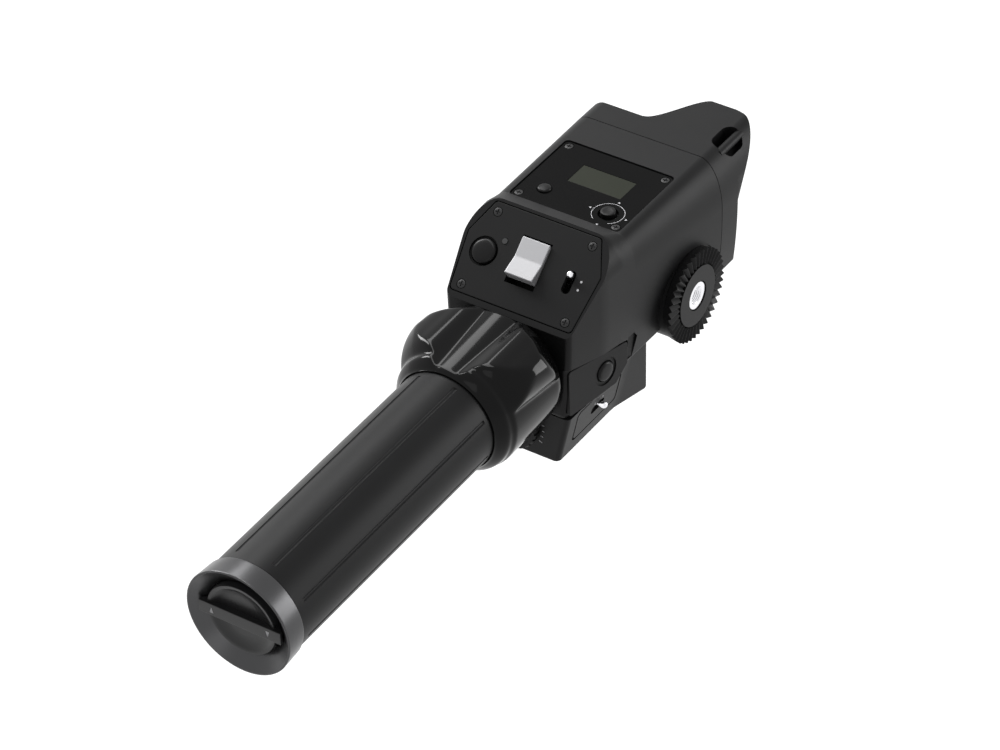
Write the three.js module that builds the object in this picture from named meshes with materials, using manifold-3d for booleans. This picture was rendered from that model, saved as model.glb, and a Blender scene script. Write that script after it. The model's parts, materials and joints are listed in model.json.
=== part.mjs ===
// A zoom demand: the hand grip that a camera operator twists to drive a studio lens's zoom.
// Millimetres. X to the operator's right, Y forward along the grip, Z up.
// Places are given from the display panel: x = 0 in the middle of the body, y = 0 at the panel's
// near edge, z = 0 on its face. The whole group then moves so that its origin is on the rosette's face.
import * as THREE from "three";
import { mergeVertices } from "three/addons/utils/BufferGeometryUtils.js";
import Module from "manifold-3d";

const wasm = await Module();
wasm.setup();

// Clearances, and the number of steps in a full turn
const gap = 0.3;
const snug = 0.12;
const overrun = 1;
const fineSteps = 48;
const steps = 28;
const smallSteps = 12;
const quarterTurn = Math.PI / 2;
const radian = Math.PI / 180;

// The main body: a hollow casting, open at its front end
const body = {
  rearY: -38,
  seamY: 55.1,
  rearHalf: 26.4,
  waistY: -19.2,
  waistHalf: 29.97,
  seamHalf: 33.8,
  topZ: 0.4,
  flatHalf: 24,
  crestY: -7.95,
  crestZ: 3.7,
  crestFlatHalf: 20,
  crestDrop: 12,
  nearDrop: 14,
  seamDrop: 20.5,
  tuckZ: -20.5,
  tuck: 1.8,
  tuckDepth: 30,
  facetRearHalf: 24.9,
  facetFrontHalf: 29.6,
  facetFrontY: -5,
  facetEndY: -0.5,
  facetEase: 2.5,
  creaseRearZ: -37.2,
  creaseFrontZ: -42.5,
  creaseHalf: 0.35,
  foot: 1.2,
  edge: 2,
  wall: 2.4,
  rearWall: 3,
  rearFootZ: -60.2,
  bellyY: -9,
  bellyZ: -61.6,
  stepY: -2.2,
  stepZ: -54.8,
  seamFootZ: -51.4,
  hatchHalf: 17,
  hatchRear: -31,
  hatchFront: 7.4,
};

// The sloping switch plate
const panel = {
  topY: -9.05,
  topZ: 2.76,
  slope: 40.93,
  topHalf: 22.27,
  midHalf: 28.2,
  lowHalf: 25.88,
  midDown: 13.39,
  span: 35.73,
  corner: 1.6,
  thickness: 2,
  ledge: 5.5,
  ledgeThickness: 1.6,
};

// The display panel
const display = {
  half: 23.32,
  span: 39.07,
  corner: 2,
  thickness: 1.6,
  sideLedge: 4.6,
  endLedge: 2.6,
  ledgeThickness: 1.5,
  windowLeft: -9.7,
  windowRight: 13.16,
  windowNear: 17.85,
  windowFar: 29.32,
  windowThickness: 1,
  windowSink: 0.1,
  lcdMargin: 2.2,
  lcdThickness: 3.3,
  boardThickness: 1.6,
};

// The front cap: level with the body on the left, with a hump on the right
const cap = {
  frontY: 66.5,
  lip: 4,
  lipThickness: 1.6,
  cornerWidth: 2.3,
  cornerLength: 3.5,
  humpLeft: -7.5,
  humpRise: 10.5,
  humpFlatRight: 17,
  humpFront: 88,
  humpSideFront: 76,
  shear: 0.5,
};

// The strap lug: a bar along an oval pocket in the hump's right shoulder
const strap = {
  left: 22,
  right: 30.5,
  rearY: 64,
  frontY: 78,
  corner: 4.1,
  floorZ: -8,
  wall: 1.6,
  barX: 27,
  barZ: -2.5,
  radius: 1.8,
};

// The grip's axis droops a little towards the operator
const grip = {
  axisZ: -41.13,
  droop: 0.81,
  radius: 20.2,
  inner: 17.4,
  front: -73.6,
  rear: -193.4,
  grooveCount: 8,
  grooveTurn: 25.5,
  grooveRadius: 0.9,
  grooveDepth: 0.55,
  grooveFront: -80,
  grooveRear: -189.6,
  spineRadius: 8,
  spineInner: 6.8,
  spineRear: -190,
  spineFront: 12,
  plugFace: -187,
  plugSpigot: 4,
  frontPlugFace: -79.5,
  frontPlugEnd: -74.2,
};

// The ring at the grip's end, and the knob that sets how stiffly the twist ring turns
const endRing = {
  rim: -202.8,
  front: -193.7,
  radius: 21.5,
  frontRadius: 20.9,
  edge: 0.4,
  mouth: 20.6,
  throat: 14.8,
  coneDepth: 4.8,
};
const knob = {
  radius: 14.4,
  faceDepth: 0.9,
  rimDepth: 1.9,
  dishDepth: 3.6,
  dishRadius: 11,
  front: -194,
  barHalf: 17.1,
  barWidth: 5.2,
  barTipThickness: 1.4,
  barRootThickness: 4,
  bore: 3.3,
  boreDepth: 3,
};

// The twist ring, with two ears and a thumb scallop between them. Its skin is the least of three
// profiles: the cone at the rear, the ears and scallop seen from the end, and the slope at the front.
// Turns are in degrees from the top.
const twist = {
  rear: -78,
  front: -41,
  radius: 25.2,
  rearRadius: 20.9,
  frontRadius: 24.9,
  peakRadius: 32.1,
  scallopRear: 21.7,
  scallopFront: 23.3,
  edge: 0.5,
  mouth: 20.5,
  mouthFloor: -71.8,
  turns: [0, 7, 13, 18, 23, 28, 33, 38, 43, 47, 51, 55, 59, 63, 67, 71, 76, 81, 90, 99, 108, 117, 126, 135, 144, 153, 162, 171, 180],
  peakTurn: 51,
  flankRearTurn: 70,
  flankFrontTurn: 80,
};
const rearConeShares = [[0, 0], [0.054, 0.152], [0.119, 0.304], [0.162, 0.313], [0.216, 0.473], [0.27, 0.634], [0.378, 0.857], [0.486, 0.991], [0.595, 1.1]];
const frontSlopeShares = [[0.595, 1], [0.703, 0.944], [0.811, 0.667], [0.919, 0.208], [1, 0]];
const lobeShares = [[0, 0], [0.196, 0.01], [0.333, 0.154], [0.412, 0.288], [0.49, 0.433], [0.64, 0.606], [0.745, 0.702], [0.882, 0.875], [1, 1]];

// What turns with the twist ring, and what brakes and senses it
const drive = {
  hubRadius: 10.2,
  hubRear: -71.5,
  hubFront: -8,
  flangeRadius: 12.4,
  flangeThickness: 2.3,
  bushRadius: 12.3,
  bushRear: -38.2,
  bushFront: -31.4,
  module: 0.6,
  gearTeeth: 44,
  pinionTeeth: 14,
  mesh: 0.35,
  gearRear: -15.2,
  gearFront: -11,
  pinionTurn: -35,
  pinionShaft: 1.4,
  pinionShaftLength: 5,
  encoderRadius: 5.2,
  encoderRear: -31.3,
  encoderFront: -18,
  encoderBore: 4,
  springRadius: 11.1,
  springWire: 0.45,
  springTurns: 5,
  springRear: -29.8,
  springFront: -16.6,
  discRear: -7.7,
  discFront: -6,
  discRadius: 12,
  frictionSpringRadius: 10,
  frictionWire: 0.8,
  frictionTurns: 3,
  frictionRear: -5.7,
  frictionFront: 2.1,
  nutRear: 3,
  nutFront: 6,
  nutLug: 4,
  slotEnd: 1.4,
  shaftRadius: 3,
  shaftRear: -196.6,
  shaftFront: 7.4,
};

// The plates inside that carry the grip and the boards
const chassis = {
  rearPlate: -34.7,
  rearThickness: 3,
  rearTop: -27,
  frontPlate: 8,
  frontThickness: 4,
  frontTop: -14,
  shelfHalf: 15,
  shelfTop: -20.5,
  shelfThickness: 1.6,
  shelfEnd: 46,
  boardHalf: 20,
  boardRear: 13,
  boardFront: 50,
  boardThickness: 1.6,
};

// Far enough to pass right through any piece
const reach = cap.humpFront - endRing.rim;

// The rosette: a toothed disc by which the whole demand is clamped to a pan bar
const rosette = {
  stand: 3.9,
  y: 33.5,
  z: -44.7,
  thickness: 3.6,
  rearRadius: 18.2,
  radius: 18.8,
  teeth: 40,
  toothInner: 12.8,
  toothDepth: 1.5,
  toothShare: 0.94,
  bossRadius: 12.2,
  spigot: 7,
  spigotDepth: 3.9,
  padRadius: 17.9,
  padDepth: 6,
  insertRadius: 5.6,
  insertBore: 3.2,
  insertSink: 0.4,
  flange: 7.3,
  flangeThickness: 2,
};

// The block under the body, which carries the speed dial and a toggle
const block = {
  rearY: -37,
  straightY: 0,
  noseLength: 2.1,
  topFrontY: 13.5,
  bottomFrontY: 19,
  topZ: -57,
  bottomZ: -82.6,
  highZ: -50,
  shoulderZ: -60.5,
  topHalf: 26,
  bottomHalf: 20,
  topFlare: 27.5,
  bottomFlare: 23.8,
  edge: 1.2,
  corner: 2,
  wall: 2.2,
  plateRear: -30,
  plateFront: -1,
  plateTop: -62,
  plateLow: -76.2,
  grooveHalf: 0.35,
  grooveDepth: 0.7,
};

const dial = {
  z: -68.5,
  radius: 12.5,
  thickness: 2.7,
  rearY: -40.3,
  flutes: 24,
  fluteRadius: 0.7,
  shaft: 3,
  shaftLength: 6.5,
  potHalf: 5.5,
  potLength: 9,
};

// The button plate on the body's right wall
const side = {
  z: -34.5,
  start: 1.2,
  end: 33.6,
  top: 3.7,
  topFront: 8.6,
  low: 24,
  lowEnd: 27,
  lowFront: 18.3,
  corner: 1.4,
  pocketStart: 34.4,
  pocketTopEnd: 38.2,
  pocketEnd: 40.4,
  pocketTop: 7.6,
  pocketEndDown: 10.5,
  pocketLow: 18.8,
  pocketLowEnd: 38,
  pocketDepth: 1.6,
  sink: 0.9,
  proud: 0.4,
  wallLeft: 2.3,
  postRadius: 1.6,
  postLength: 2.4,
  boardThickness: 1,
};

// Push buttons: a cap that stands proud, and a flange that keeps it behind its plate
const functionButton = {
  x: -19.2,
  down: 18.8,
  radius: 4.9,
  rise: 0.6,
  edge: 0.5,
  flange: 5.6,
  flangeThickness: 1.2,
  travel: 0.8,
  collar: 5.7,
  collarDepth: 0.9,
};
const displayButton = {
  x: -13.9,
  y: 9.2,
  radius: 2.6,
  rise: 0.9,
  edge: 0.5,
  flange: 3.3,
  flangeThickness: 0.8,
  travel: 0.5,
};
const sideButton = {
  along: 21.4,
  down: 15.2,
  radius: 4.1,
  rise: 0.9,
  edge: 0.5,
  flange: 4.9,
  flangeThickness: 1.2,
  travel: 0.8,
  collar: 5.8,
  collarDepth: 0.5,
};

const lamp = { x: -12.8, down: 12.8, radius: 1.1, rise: 0.2 };

// The rocker: its two faces make a shallow V, and it rests tipped on its upper end
const rocker = {
  x: -0.6,
  down: 17.3,
  half: 5.9,
  halfLength: 7.6,
  pivotDepth: 3.9,
  endHeight: 6.4,
  middleHeight: 5,
  endThickness: 4.4,
  keel: 2.4,
  keelHalf: 3.6,
  swing: 9.5,
  pin: 1,
  opening: 9.2,
  housingWall: 1.1,
  housingFloor: 1,
  housingDepth: 8,
};

// Toggles: a bat lever on a cross pin, in a body behind the plate
const toggle = {
  pivotDepth: 4.6,
  ball: 1.5,
  neck: 1,
  neckHeight: 3.6,
  bat: 1.45,
  batHeight: 6.2,
  span: 7.8,
  pin: 0.7,
  pinHalf: 2.6,
  bodyHalf: 3.6,
  bodyHalfLength: 6.2,
  bodyDepth: 8,
  slotHalf: 1.8,
  slotHalfLength: 4.4,
  slotCorner: 1.6,
};
const extender = { x: 17.2, down: 18.7, swing: 24 };
const lowerToggle = { y: -15, z: -69, swing: 20 };

// The joystick beside the display
const stick = {
  x: 14.1,
  y: 8.2,
  radius: 2.9,
  rise: 1.5,
  dome: 0.5,
  skirt: 1.1,
  hole: 3.9,
  pivotDepth: 3.6,
  stem: 1.1,
  stemFoot: 0.9,
  swing: 7,
  bodyHalf: 4.2,
  well: 3.6,
  floor: 0.5,
  ringOuter: 3.2,
  ringInner: 1.9,
  ringHalf: 0.45,
};

// Screws: a countersunk head with a cross, and a plain shank
const screw = {
  head: 1.6,
  headDepth: 1,
  shank: 0.85,
  span: 5,
  crossWidth: 0.45,
  crossHalf: 1,
  crossDepth: 0.5,
  bossRadius: 2.4,
  switchUpperX: 20.2,
  switchUpperDown: 3.7,
  switchLowerX: 22.2,
  switchLowerEnd: 2.93,
  displayX: 20.8,
  displayNear: 2.7,
  displayFarEnd: 2.57,
};

// The socket for the lens cable, on the cap's left front face
const socket = {
  x: -17,
  z: -22,
  radius: 7,
  wall: 1.2,
  flange: 9,
  flangeThickness: 1.5,
  out: 8,
  inside: 6,
  insulatorBack: 5,
  insulatorFront: 2.4,
  pins: 6,
  pinCircle: 3.2,
  pinRadius: 0.55,
  pinDepth: 4,
};

// Looks
const looks = {
  shell: { color: 0x2a2b2d, roughness: 0.55, metalness: 0 },
  plate: { color: 0x262729, roughness: 0.6, metalness: 0 },
  gloss: { color: 0x0c0c0d, roughness: 0.08, metalness: 0 },
  glass: { color: 0x5d6455, roughness: 0.1, metalness: 0 },
  sleeve: { color: 0x1c1c1e, roughness: 0.5, metalness: 0.2 },
  dark_metal: { color: 0x303134, roughness: 0.3, metalness: 0.6 },
  bright: { color: 0xc9cacc, roughness: 0.2, metalness: 1 },
  steel: { color: 0x8d9094, roughness: 0.35, metalness: 1 },
  alloy: { color: 0xa7a9ac, roughness: 0.4, metalness: 0.9 },
  bronze: { color: 0xa8783c, roughness: 0.4, metalness: 0.9 },
  black_steel: { color: 0x1b1b1d, roughness: 0.35, metalness: 0.8 },
  white: { color: 0xe9e9e6, roughness: 0.35, metalness: 0 },
  board: { color: 0x1f5a36, roughness: 0.5, metalness: 0 },
  nylon: { color: 0xd8d4c6, roughness: 0.6, metalness: 0 },
  friction: { color: 0x6d5a49, roughness: 0.9, metalness: 0 },
  lamp: { color: 0x5b2320, roughness: 0.3, metalness: 0 },
};
const materials = Object.fromEntries(
  Object.entries(looks).map(([name, look]) => [name, new THREE.MeshStandardMaterial({ name, ...look })]),
);

// A closed geometry as a manifold solid, turned right side out
function solid(geometry) {
  const bare = geometry.clone();
  bare.deleteAttribute("normal");
  bare.deleteAttribute("uv");
  const merged = mergeVertices(bare, 1e-4);
  const index = merged.index.array;
  const kept = [];
  for (let i = 0; i < index.length; i += 3) {
    const [a, b, c] = [index[i], index[i + 1], index[i + 2]];
    if (a !== b && b !== c && c !== a) kept.push(a, b, c);
  }
  const vertProperties = new Float32Array(merged.attributes.position.array);
  const build = (triangles) =>
    new wasm.Manifold(new wasm.Mesh({ numProp: 3, vertProperties, triVerts: new Uint32Array(triangles) }));
  const made = build(kept);
  if (made.volume() > 0) return made;
  const turnedOver = [];
  for (let i = 0; i < kept.length; i += 3) turnedOver.push(kept[i], kept[i + 2], kept[i + 1]);
  return build(turnedOver);
}

const union = (...shapes) => shapes.reduce((all, one) => all.add(one));
const cut = (shape, ...tools) => tools.reduce((left, tool) => left.subtract(tool), shape);
const placed = (shape, matrix) => shape.transform(matrix.toArray());
const shifted = (shape, x, y, z) => placed(shape, new THREE.Matrix4().makeTranslation(x, y, z));

// A box from its low corner to its high corner
function box(low, high) {
  const size = high.map((h, i) => h - low[i]);
  const middle = high.map((h, i) => (h + low[i]) / 2);
  return solid(new THREE.BoxGeometry(...size).translate(...middle));
}

// A turned solid about the Y axis: its profile points are [radius, y]
function turned(profile, around = fineSteps) {
  return solid(new THREE.LatheGeometry(profile.map(([r, y]) => new THREE.Vector2(r, y)), around));
}

const rod = (radius, from, to, around = fineSteps) =>
  turned([[0, from], [radius, from], [radius, to], [0, to]], around);

const pipe = (inner, outer, from, to, around = fineSteps) =>
  turned([[inner, from], [outer, from], [outer, to], [inner, to], [inner, from]], around);

// The same solids standing along Z or lying along X
const alongZ = new THREE.Matrix4().makeRotationX(quarterTurn);
const alongX = new THREE.Matrix4().makeRotationZ(-quarterTurn);
const upright = (shape, x = 0, y = 0) => shifted(placed(shape, alongZ), x, y, 0);
const crosswise = (shape) => placed(shape, alongX);

// An outline of [x, y] points pulled from one z to another
function slab(outline, from, to) {
  const shape = new THREE.Shape(outline.map(([x, y]) => new THREE.Vector2(x, y)));
  const options = { depth: to - from, bevelEnabled: false };
  return solid(new THREE.ExtrudeGeometry(shape, options).translate(0, 0, from));
}

// The same, pulled along Y, with the outline's second number read as z
const slabAlongY = (outline, from, to) =>
  placed(slab(outline.map(([x, z]) => [x, -z]), from, to), new THREE.Matrix4().makeRotationX(-quarterTurn));

// The same, pulled along X, with the outline read as [y, z]
const slabAlongX = (outline, from, to) =>
  placed(slab(outline, from, to), new THREE.Matrix4().set(0, 0, 1, 0, 1, 0, 0, 0, 0, 1, 0, 0, 0, 0, 0, 1));

const rectangle = (left, low, right, high) => [[left, low], [right, low], [right, high], [left, high]];

// An outline with its corners rounded by arcs
function rounded(outline, radius, arcSteps = 4) {
  return outline.flatMap((point, i) => {
    const here = new THREE.Vector2(...point);
    const before = new THREE.Vector2(...outline.at(i - 1)).sub(here).normalize();
    const after = new THREE.Vector2(...outline[(i + 1) % outline.length]).sub(here).normalize();
    const half = Math.acos(before.dot(after)) / 2;
    const middle = before.clone().add(after).normalize().multiplyScalar(radius / Math.sin(half)).add(here);
    const start = here.clone().addScaledVector(before, radius / Math.tan(half)).sub(middle);
    const end = here.clone().addScaledVector(after, radius / Math.tan(half)).sub(middle);
    const turn = Math.atan2(start.cross(end), start.dot(end));
    return Array.from({ length: arcSteps + 1 }, (_, k) =>
      start.clone().rotateAround(new THREE.Vector2(), (turn * k) / arcSteps).add(middle).toArray(),
    );
  });
}

// A skin over a row of rings, each with as many points, closed by flat ends
function loft(rings, flatten) {
  const count = rings[0].length;
  const index = [];
  for (let r = 0; r + 1 < rings.length; r += 1) {
    for (let i = 0; i < count; i += 1) {
      const a = r * count + i;
      const b = r * count + ((i + 1) % count);
      index.push(a, b, b + count, a, b + count, a + count);
    }
  }
  const area = THREE.ShapeUtils.area;
  [0, rings.length - 1].forEach((r) => {
    const contour = rings[r].map(flatten);
    THREE.ShapeUtils.triangulateShape(contour, []).forEach((face) => {
      const same = area(face.map((k) => contour[k])) * area(contour) > 0;
      const facesOut = same === r > 0;
      index.push(...(facesOut ? face : [face[0], face[2], face[1]]).map((k) => k + r * count));
    });
  });
  const geometry = new THREE.BufferGeometry();
  geometry.setAttribute("position", new THREE.Float32BufferAttribute(rings.flat().flatMap((p) => p.toArray()), 3));
  geometry.setIndex(index);
  return solid(geometry);
}

// A coil spring about the Y axis
function coil(radius, wire, turns, from, to) {
  const perTurn = 14;
  const sides = 6;
  const count = turns * perTurn;
  const rings = Array.from({ length: count + 1 }, (_, k) => {
    const angle = (k / perTurn) * 2 * Math.PI;
    const height = THREE.MathUtils.lerp(from + wire, to - wire, k / count);
    return Array.from({ length: sides }, (__, j) => {
      const around = (j / sides) * 2 * Math.PI;
      const r = radius + wire * Math.cos(around);
      return new THREE.Vector3(r * Math.cos(angle), height + wire * Math.sin(around), r * Math.sin(angle));
    });
  });
  return loft(rings, (p) => new THREE.Vector2(Math.hypot(p.x, p.z), p.y));
}

// A spur gear about the Y axis, with one tooth's middle at the angle given
function gear(teeth, firstTooth, from, to) {
  const pitch = (drive.module * teeth) / 2;
  const outline = [];
  const toothShares = [
    [-0.36, -1.1],
    [-0.13, 0.85],
    [0.13, 0.85],
    [0.36, -1.1],
  ];
  for (let k = 0; k < teeth; k += 1) {
    toothShares.forEach(([aroundShare, heightShare]) => {
      const angle = firstTooth + ((k + aroundShare) / teeth) * 2 * Math.PI;
      const r = pitch + heightShare * drive.module;
      outline.push([r * Math.cos(angle), r * Math.sin(angle)]);
    });
  }
  return slabAlongY(outline, from, to);
}

const { lerp, clamp } = THREE.MathUtils;
const ramp = (value, from, to) => clamp((value - from) / (to - from), 0, 1);
const smooth = (share) => share * share * (3 - 2 * share);

// A value read from a table of shares
function along(table, share) {
  const k = clamp(table.findIndex(([at]) => at > share), 1, table.length - 1);
  const [[from, low], [to, high]] = [table[k - 1], table[k]];
  return share > table.at(-1)[0] ? table.at(-1)[1] : lerp(low, high, ramp(share, from, to));
}

// Half the body's width: it narrows quickly behind its waist, and widens slowly ahead of it
function halfWidth(y) {
  if (y < body.waistY) return lerp(body.rearHalf, body.waistHalf, (y - body.rearY) / (body.waistY - body.rearY));
  return lerp(body.waistHalf, body.seamHalf, (y - body.waistY) / (body.seamY - body.waistY));
}

// Nested groups: each is a frame for what sits on one face or one axis
function frame(position, rotation) {
  const group = new THREE.Group();
  group.position.set(...position);
  group.rotation.set(...rotation, "ZYX");
  group.updateMatrix();
  return group;
}
const onPanel = frame([0, panel.topY, panel.topZ], [panel.slope * radian, 0, 0]);
const onGrip = frame([0, 0, grip.axisZ], [grip.droop * radian, 0, 0]);
const rosetteX = halfWidth(rosette.y) + rosette.stand;
const onRosette = frame([rosetteX, rosette.y, rosette.z], [0, 0, -quarterTurn]);
// On the right-hand walls, local Z points out, local Y forward and local X down the wall
const sideTurn = -Math.atan2(body.facetFrontHalf - body.facetRearHalf, body.facetFrontY - body.rearY);
const onSide = frame([body.facetRearHalf, body.rearY, side.z], [0, quarterTurn, sideTurn]);
const blockLean = Math.atan2(block.topHalf - block.bottomHalf, block.topZ - block.bottomZ);
const blockHalfAt = (z) => {
  const share = (z - block.bottomZ) / (block.topZ - block.bottomZ);
  return THREE.MathUtils.lerp(block.bottomHalf, block.topHalf, share);
};
const onBlock = frame([blockHalfAt(lowerToggle.z), lowerToggle.y, lowerToggle.z], [0, quarterTurn + blockLean, 0]);

const demand = new THREE.Group();
demand.add(onPanel, onGrip, onRosette, onSide, onBlock);

// A manifold solid as a named mesh in a group
function add(group, name, look, shape) {
  const mesh = shape.getMesh();
  const geometry = new THREE.BufferGeometry();
  geometry.setAttribute("position", new THREE.BufferAttribute(new Float32Array(mesh.vertProperties), 3));
  geometry.setIndex(new THREE.BufferAttribute(new Uint32Array(mesh.triVerts), 1));
  geometry.computeVertexNormals();
  const made = new THREE.Mesh(geometry, materials[look]);
  made.name = name;
  group.add(made);
  return made;
}

// Body cross-section
function footAt(y) {
  if (y < body.bellyY) return lerp(body.rearFootZ, body.bellyZ, ramp(y, body.rearY, body.bellyY));
  if (y < body.stepY) return lerp(body.bellyZ, body.stepZ, ramp(y, body.bellyY, body.stepY));
  return lerp(body.stepZ, body.seamFootZ, ramp(y, body.stepY, body.seamY));
}

const wallX = (wide, z) => wide - body.tuck * (Math.max(body.tuckZ - z, 0) / body.tuckDepth) ** 2;

// Below a crease, the rear part of each side wall is a flat facet, which the button plate lies on
const facetShare = (y) => (y - body.rearY) / (body.facetFrontY - body.rearY);
const creaseAt = (y) => lerp(body.creaseRearZ, body.creaseFrontZ, clamp(facetShare(y), 0, 1));
function lowWallX(y, z, inset) {
  const plain = wallX(halfWidth(y) - inset, z);
  const facet = lerp(body.facetRearHalf, body.facetFrontHalf, facetShare(y)) - inset;
  return lerp(Math.min(plain, facet), plain, ramp(y, body.facetEndY, body.facetEndY + body.facetEase));
}

// Half the outline, from the middle of the top to the middle of the bottom, then its mirror image
function section(y, inset) {
  const crest = 1 - ramp(y, body.crestY, 0);
  const top = lerp(body.topZ, body.crestZ, crest) - inset;
  const wide = halfWidth(y) - inset;
  const flat = lerp(body.flatHalf, body.crestFlatHalf, crest) - inset / 2;
  const drop = lerp(lerp(body.nearDrop, body.seamDrop, ramp(y, 0, body.seamY)), body.crestDrop, crest);
  const foot = footAt(y) + inset;
  const low = foot + body.foot;
  const half = [[0, top], [flat, top]];
  const cornerSteps = 6;
  for (let k = 1; k <= cornerSteps; k += 1) {
    const angle = (quarterTurn * k) / cornerSteps;
    half.push([flat + (wide - flat) * Math.sin(angle), top - drop * (1 - Math.cos(angle))]);
  }
  const crease = creaseAt(y);
  const over = crease + body.creaseHalf;
  const under = crease - body.creaseHalf;
  half.push([wallX(wide, over), over]);
  [under, lerp(under, low, 1 / 2), low].forEach((z) => half.push([lowWallX(y, z, inset), z]));
  const corner = lowWallX(y, low, inset) - body.foot;
  half.push([corner + body.foot * Math.SQRT1_2, low - body.foot * Math.SQRT1_2]);
  half.push([corner, foot], [0, foot]);
  const mirrored = half.slice(1, -1).reverse().map(([x, z]) => [-x, z]);
  return [...half, ...mirrored].map(([x, z]) => new THREE.Vector3(x, y, z));
}

const flattenXZ = (p) => new THREE.Vector2(p.x, p.z);
const flattenXY = (p) => new THREE.Vector2(p.x, p.y);

// The body's skin between two places, moved in by an inset, with a rounded rear edge if one is given
function bodyForm(from, to, inset, edge = 0) {
  const knots = [
    (body.rearY + body.waistY) / 2,
    body.waistY,
    body.bellyY,
    body.crestY,
    body.facetFrontY,
    body.stepY,
    body.facetEndY,
    0,
    body.facetEndY + body.facetEase,
    body.seamY / 3,
    (body.seamY * 2) / 3,
    body.seamY,
  ];
  const rings = [];
  if (edge > 0) {
    const half = edge * (1 - Math.SQRT1_2);
    rings.push(section(from, inset + edge), section(from + half, inset + half));
  }
  const between = knots.filter((y) => y > from + edge && y < to);
  rings.push(...[from + edge, ...between, to].map((y) => section(y, inset)));
  return loft(rings, flattenXZ);
}

// Everything above a height in a frame
const above = (z) => box([-reach, -reach, z], [reach, reach, z + reach]);

const switchOutline = (grow) =>
  rounded(
    [
      [-panel.topHalf - grow, grow],
      [-panel.midHalf - grow, -panel.midDown],
      [-panel.lowHalf - grow, -panel.span - grow],
      [panel.lowHalf + grow, -panel.span - grow],
      [panel.midHalf + grow, -panel.midDown],
      [panel.topHalf + grow, grow],
    ],
    panel.corner,
  );

const displayOutline = (sides, ends) =>
  rounded(rectangle(-display.half - sides, -ends, display.half + sides, display.span + ends), display.corner);

const windowAt = (grow, from, to) =>
  slab(
    rectangle(display.windowLeft - grow, display.windowNear - grow, display.windowRight + grow, display.windowFar + grow),
    from,
    to,
  );

const sideOutline = (grow) =>
  rounded(
    [
      [side.top - grow, side.start - grow],
      [side.low + grow, side.start - grow],
      [side.low + grow, side.lowEnd + grow / 2],
      [side.lowFront + grow / 2, side.end + grow],
      [side.topFront - grow, side.end + grow],
    ],
    side.corner,
  );

// The dark pocket in the wall, ahead of the button plate
const pocketOutline = [
  [side.pocketTop, side.pocketStart],
  [side.pocketLow, side.pocketStart],
  [side.pocketLow, side.pocketLowEnd],
  [side.pocketEndDown, side.pocketEnd],
  [side.pocketTop, side.pocketTopEnd],
];

// Depths under each plate: its seat, and the underside of the ledge that it is screwed to
const panelSeat = -panel.thickness - gap;
const panelUnder = panelSeat - panel.ledgeThickness;
const displaySeat = -display.thickness - gap;
const displayUnder = displaySeat - display.ledgeThickness;

const switchScrews = [
  { name: "switch_screw_upper_left", x: -screw.switchUpperX, y: -screw.switchUpperDown },
  { name: "switch_screw_upper_right", x: screw.switchUpperX, y: -screw.switchUpperDown },
  { name: "switch_screw_lower_left", x: -screw.switchLowerX, y: screw.switchLowerEnd - panel.span },
  { name: "switch_screw_lower_right", x: screw.switchLowerX, y: screw.switchLowerEnd - panel.span },
];
const displayScrews = [
  { name: "display_screw_near_left", x: -screw.displayX, y: screw.displayNear },
  { name: "display_screw_near_right", x: screw.displayX, y: screw.displayNear },
  { name: "display_screw_far_left", x: -screw.displayX, y: display.span - screw.displayFarEnd },
  { name: "display_screw_far_right", x: screw.displayX, y: display.span - screw.displayFarEnd },
];

function screwShape() {
  const form = turned(
    [[0, -screw.span], [screw.shank, -screw.span], [screw.shank, -screw.headDepth], [screw.head, 0], [0, 0]],
    smallSteps,
  );
  const bar = (halfX, halfZ) => box([-halfX, -screw.crossDepth, -halfZ], [halfX, overrun, halfZ]);
  const narrow = screw.crossWidth / 2;
  return cut(form, bar(narrow, screw.crossHalf), bar(screw.crossHalf, narrow));
}

// The countersunk hole that the screw drops into, and the boss under it
function screwHole() {
  const wide = screw.head + gap;
  const shank = screw.shank + gap;
  const bottom = -screw.span - gap;
  return turned(
    [[0, bottom], [shank, bottom], [shank, -screw.headDepth - gap], [wide, 0], [wide, overrun], [0, overrun]],
    smallSteps,
  );
}
const screwBoss = (seat) => rod(screw.bossRadius, -screw.span - gap - overrun, seat, smallSteps);

function fitScrews(group, places) {
  places.forEach(({ name, x, y }) => {
    const made = add(group, name, "black_steel", screwShape());
    made.position.set(x, y, 0);
    made.rotation.x = quarterTurn;
  });
}

// A push button about the Y axis, its face towards +Y, behind a plate of the thickness given
function buttonShape(size, plateThickness) {
  const shoulder = -plateThickness - gap;
  const low = shoulder - size.flangeThickness;
  return turned(
    [
      [0, low],
      [size.flange, low],
      [size.flange, shoulder],
      [size.radius, shoulder],
      [size.radius, size.rise - size.edge],
      [size.radius - size.edge, size.rise],
      [0, size.rise],
    ],
    steps,
  );
}
const buttonFoot = (size, plateThickness) => -plateThickness - gap - size.flangeThickness - size.travel - gap;

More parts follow.
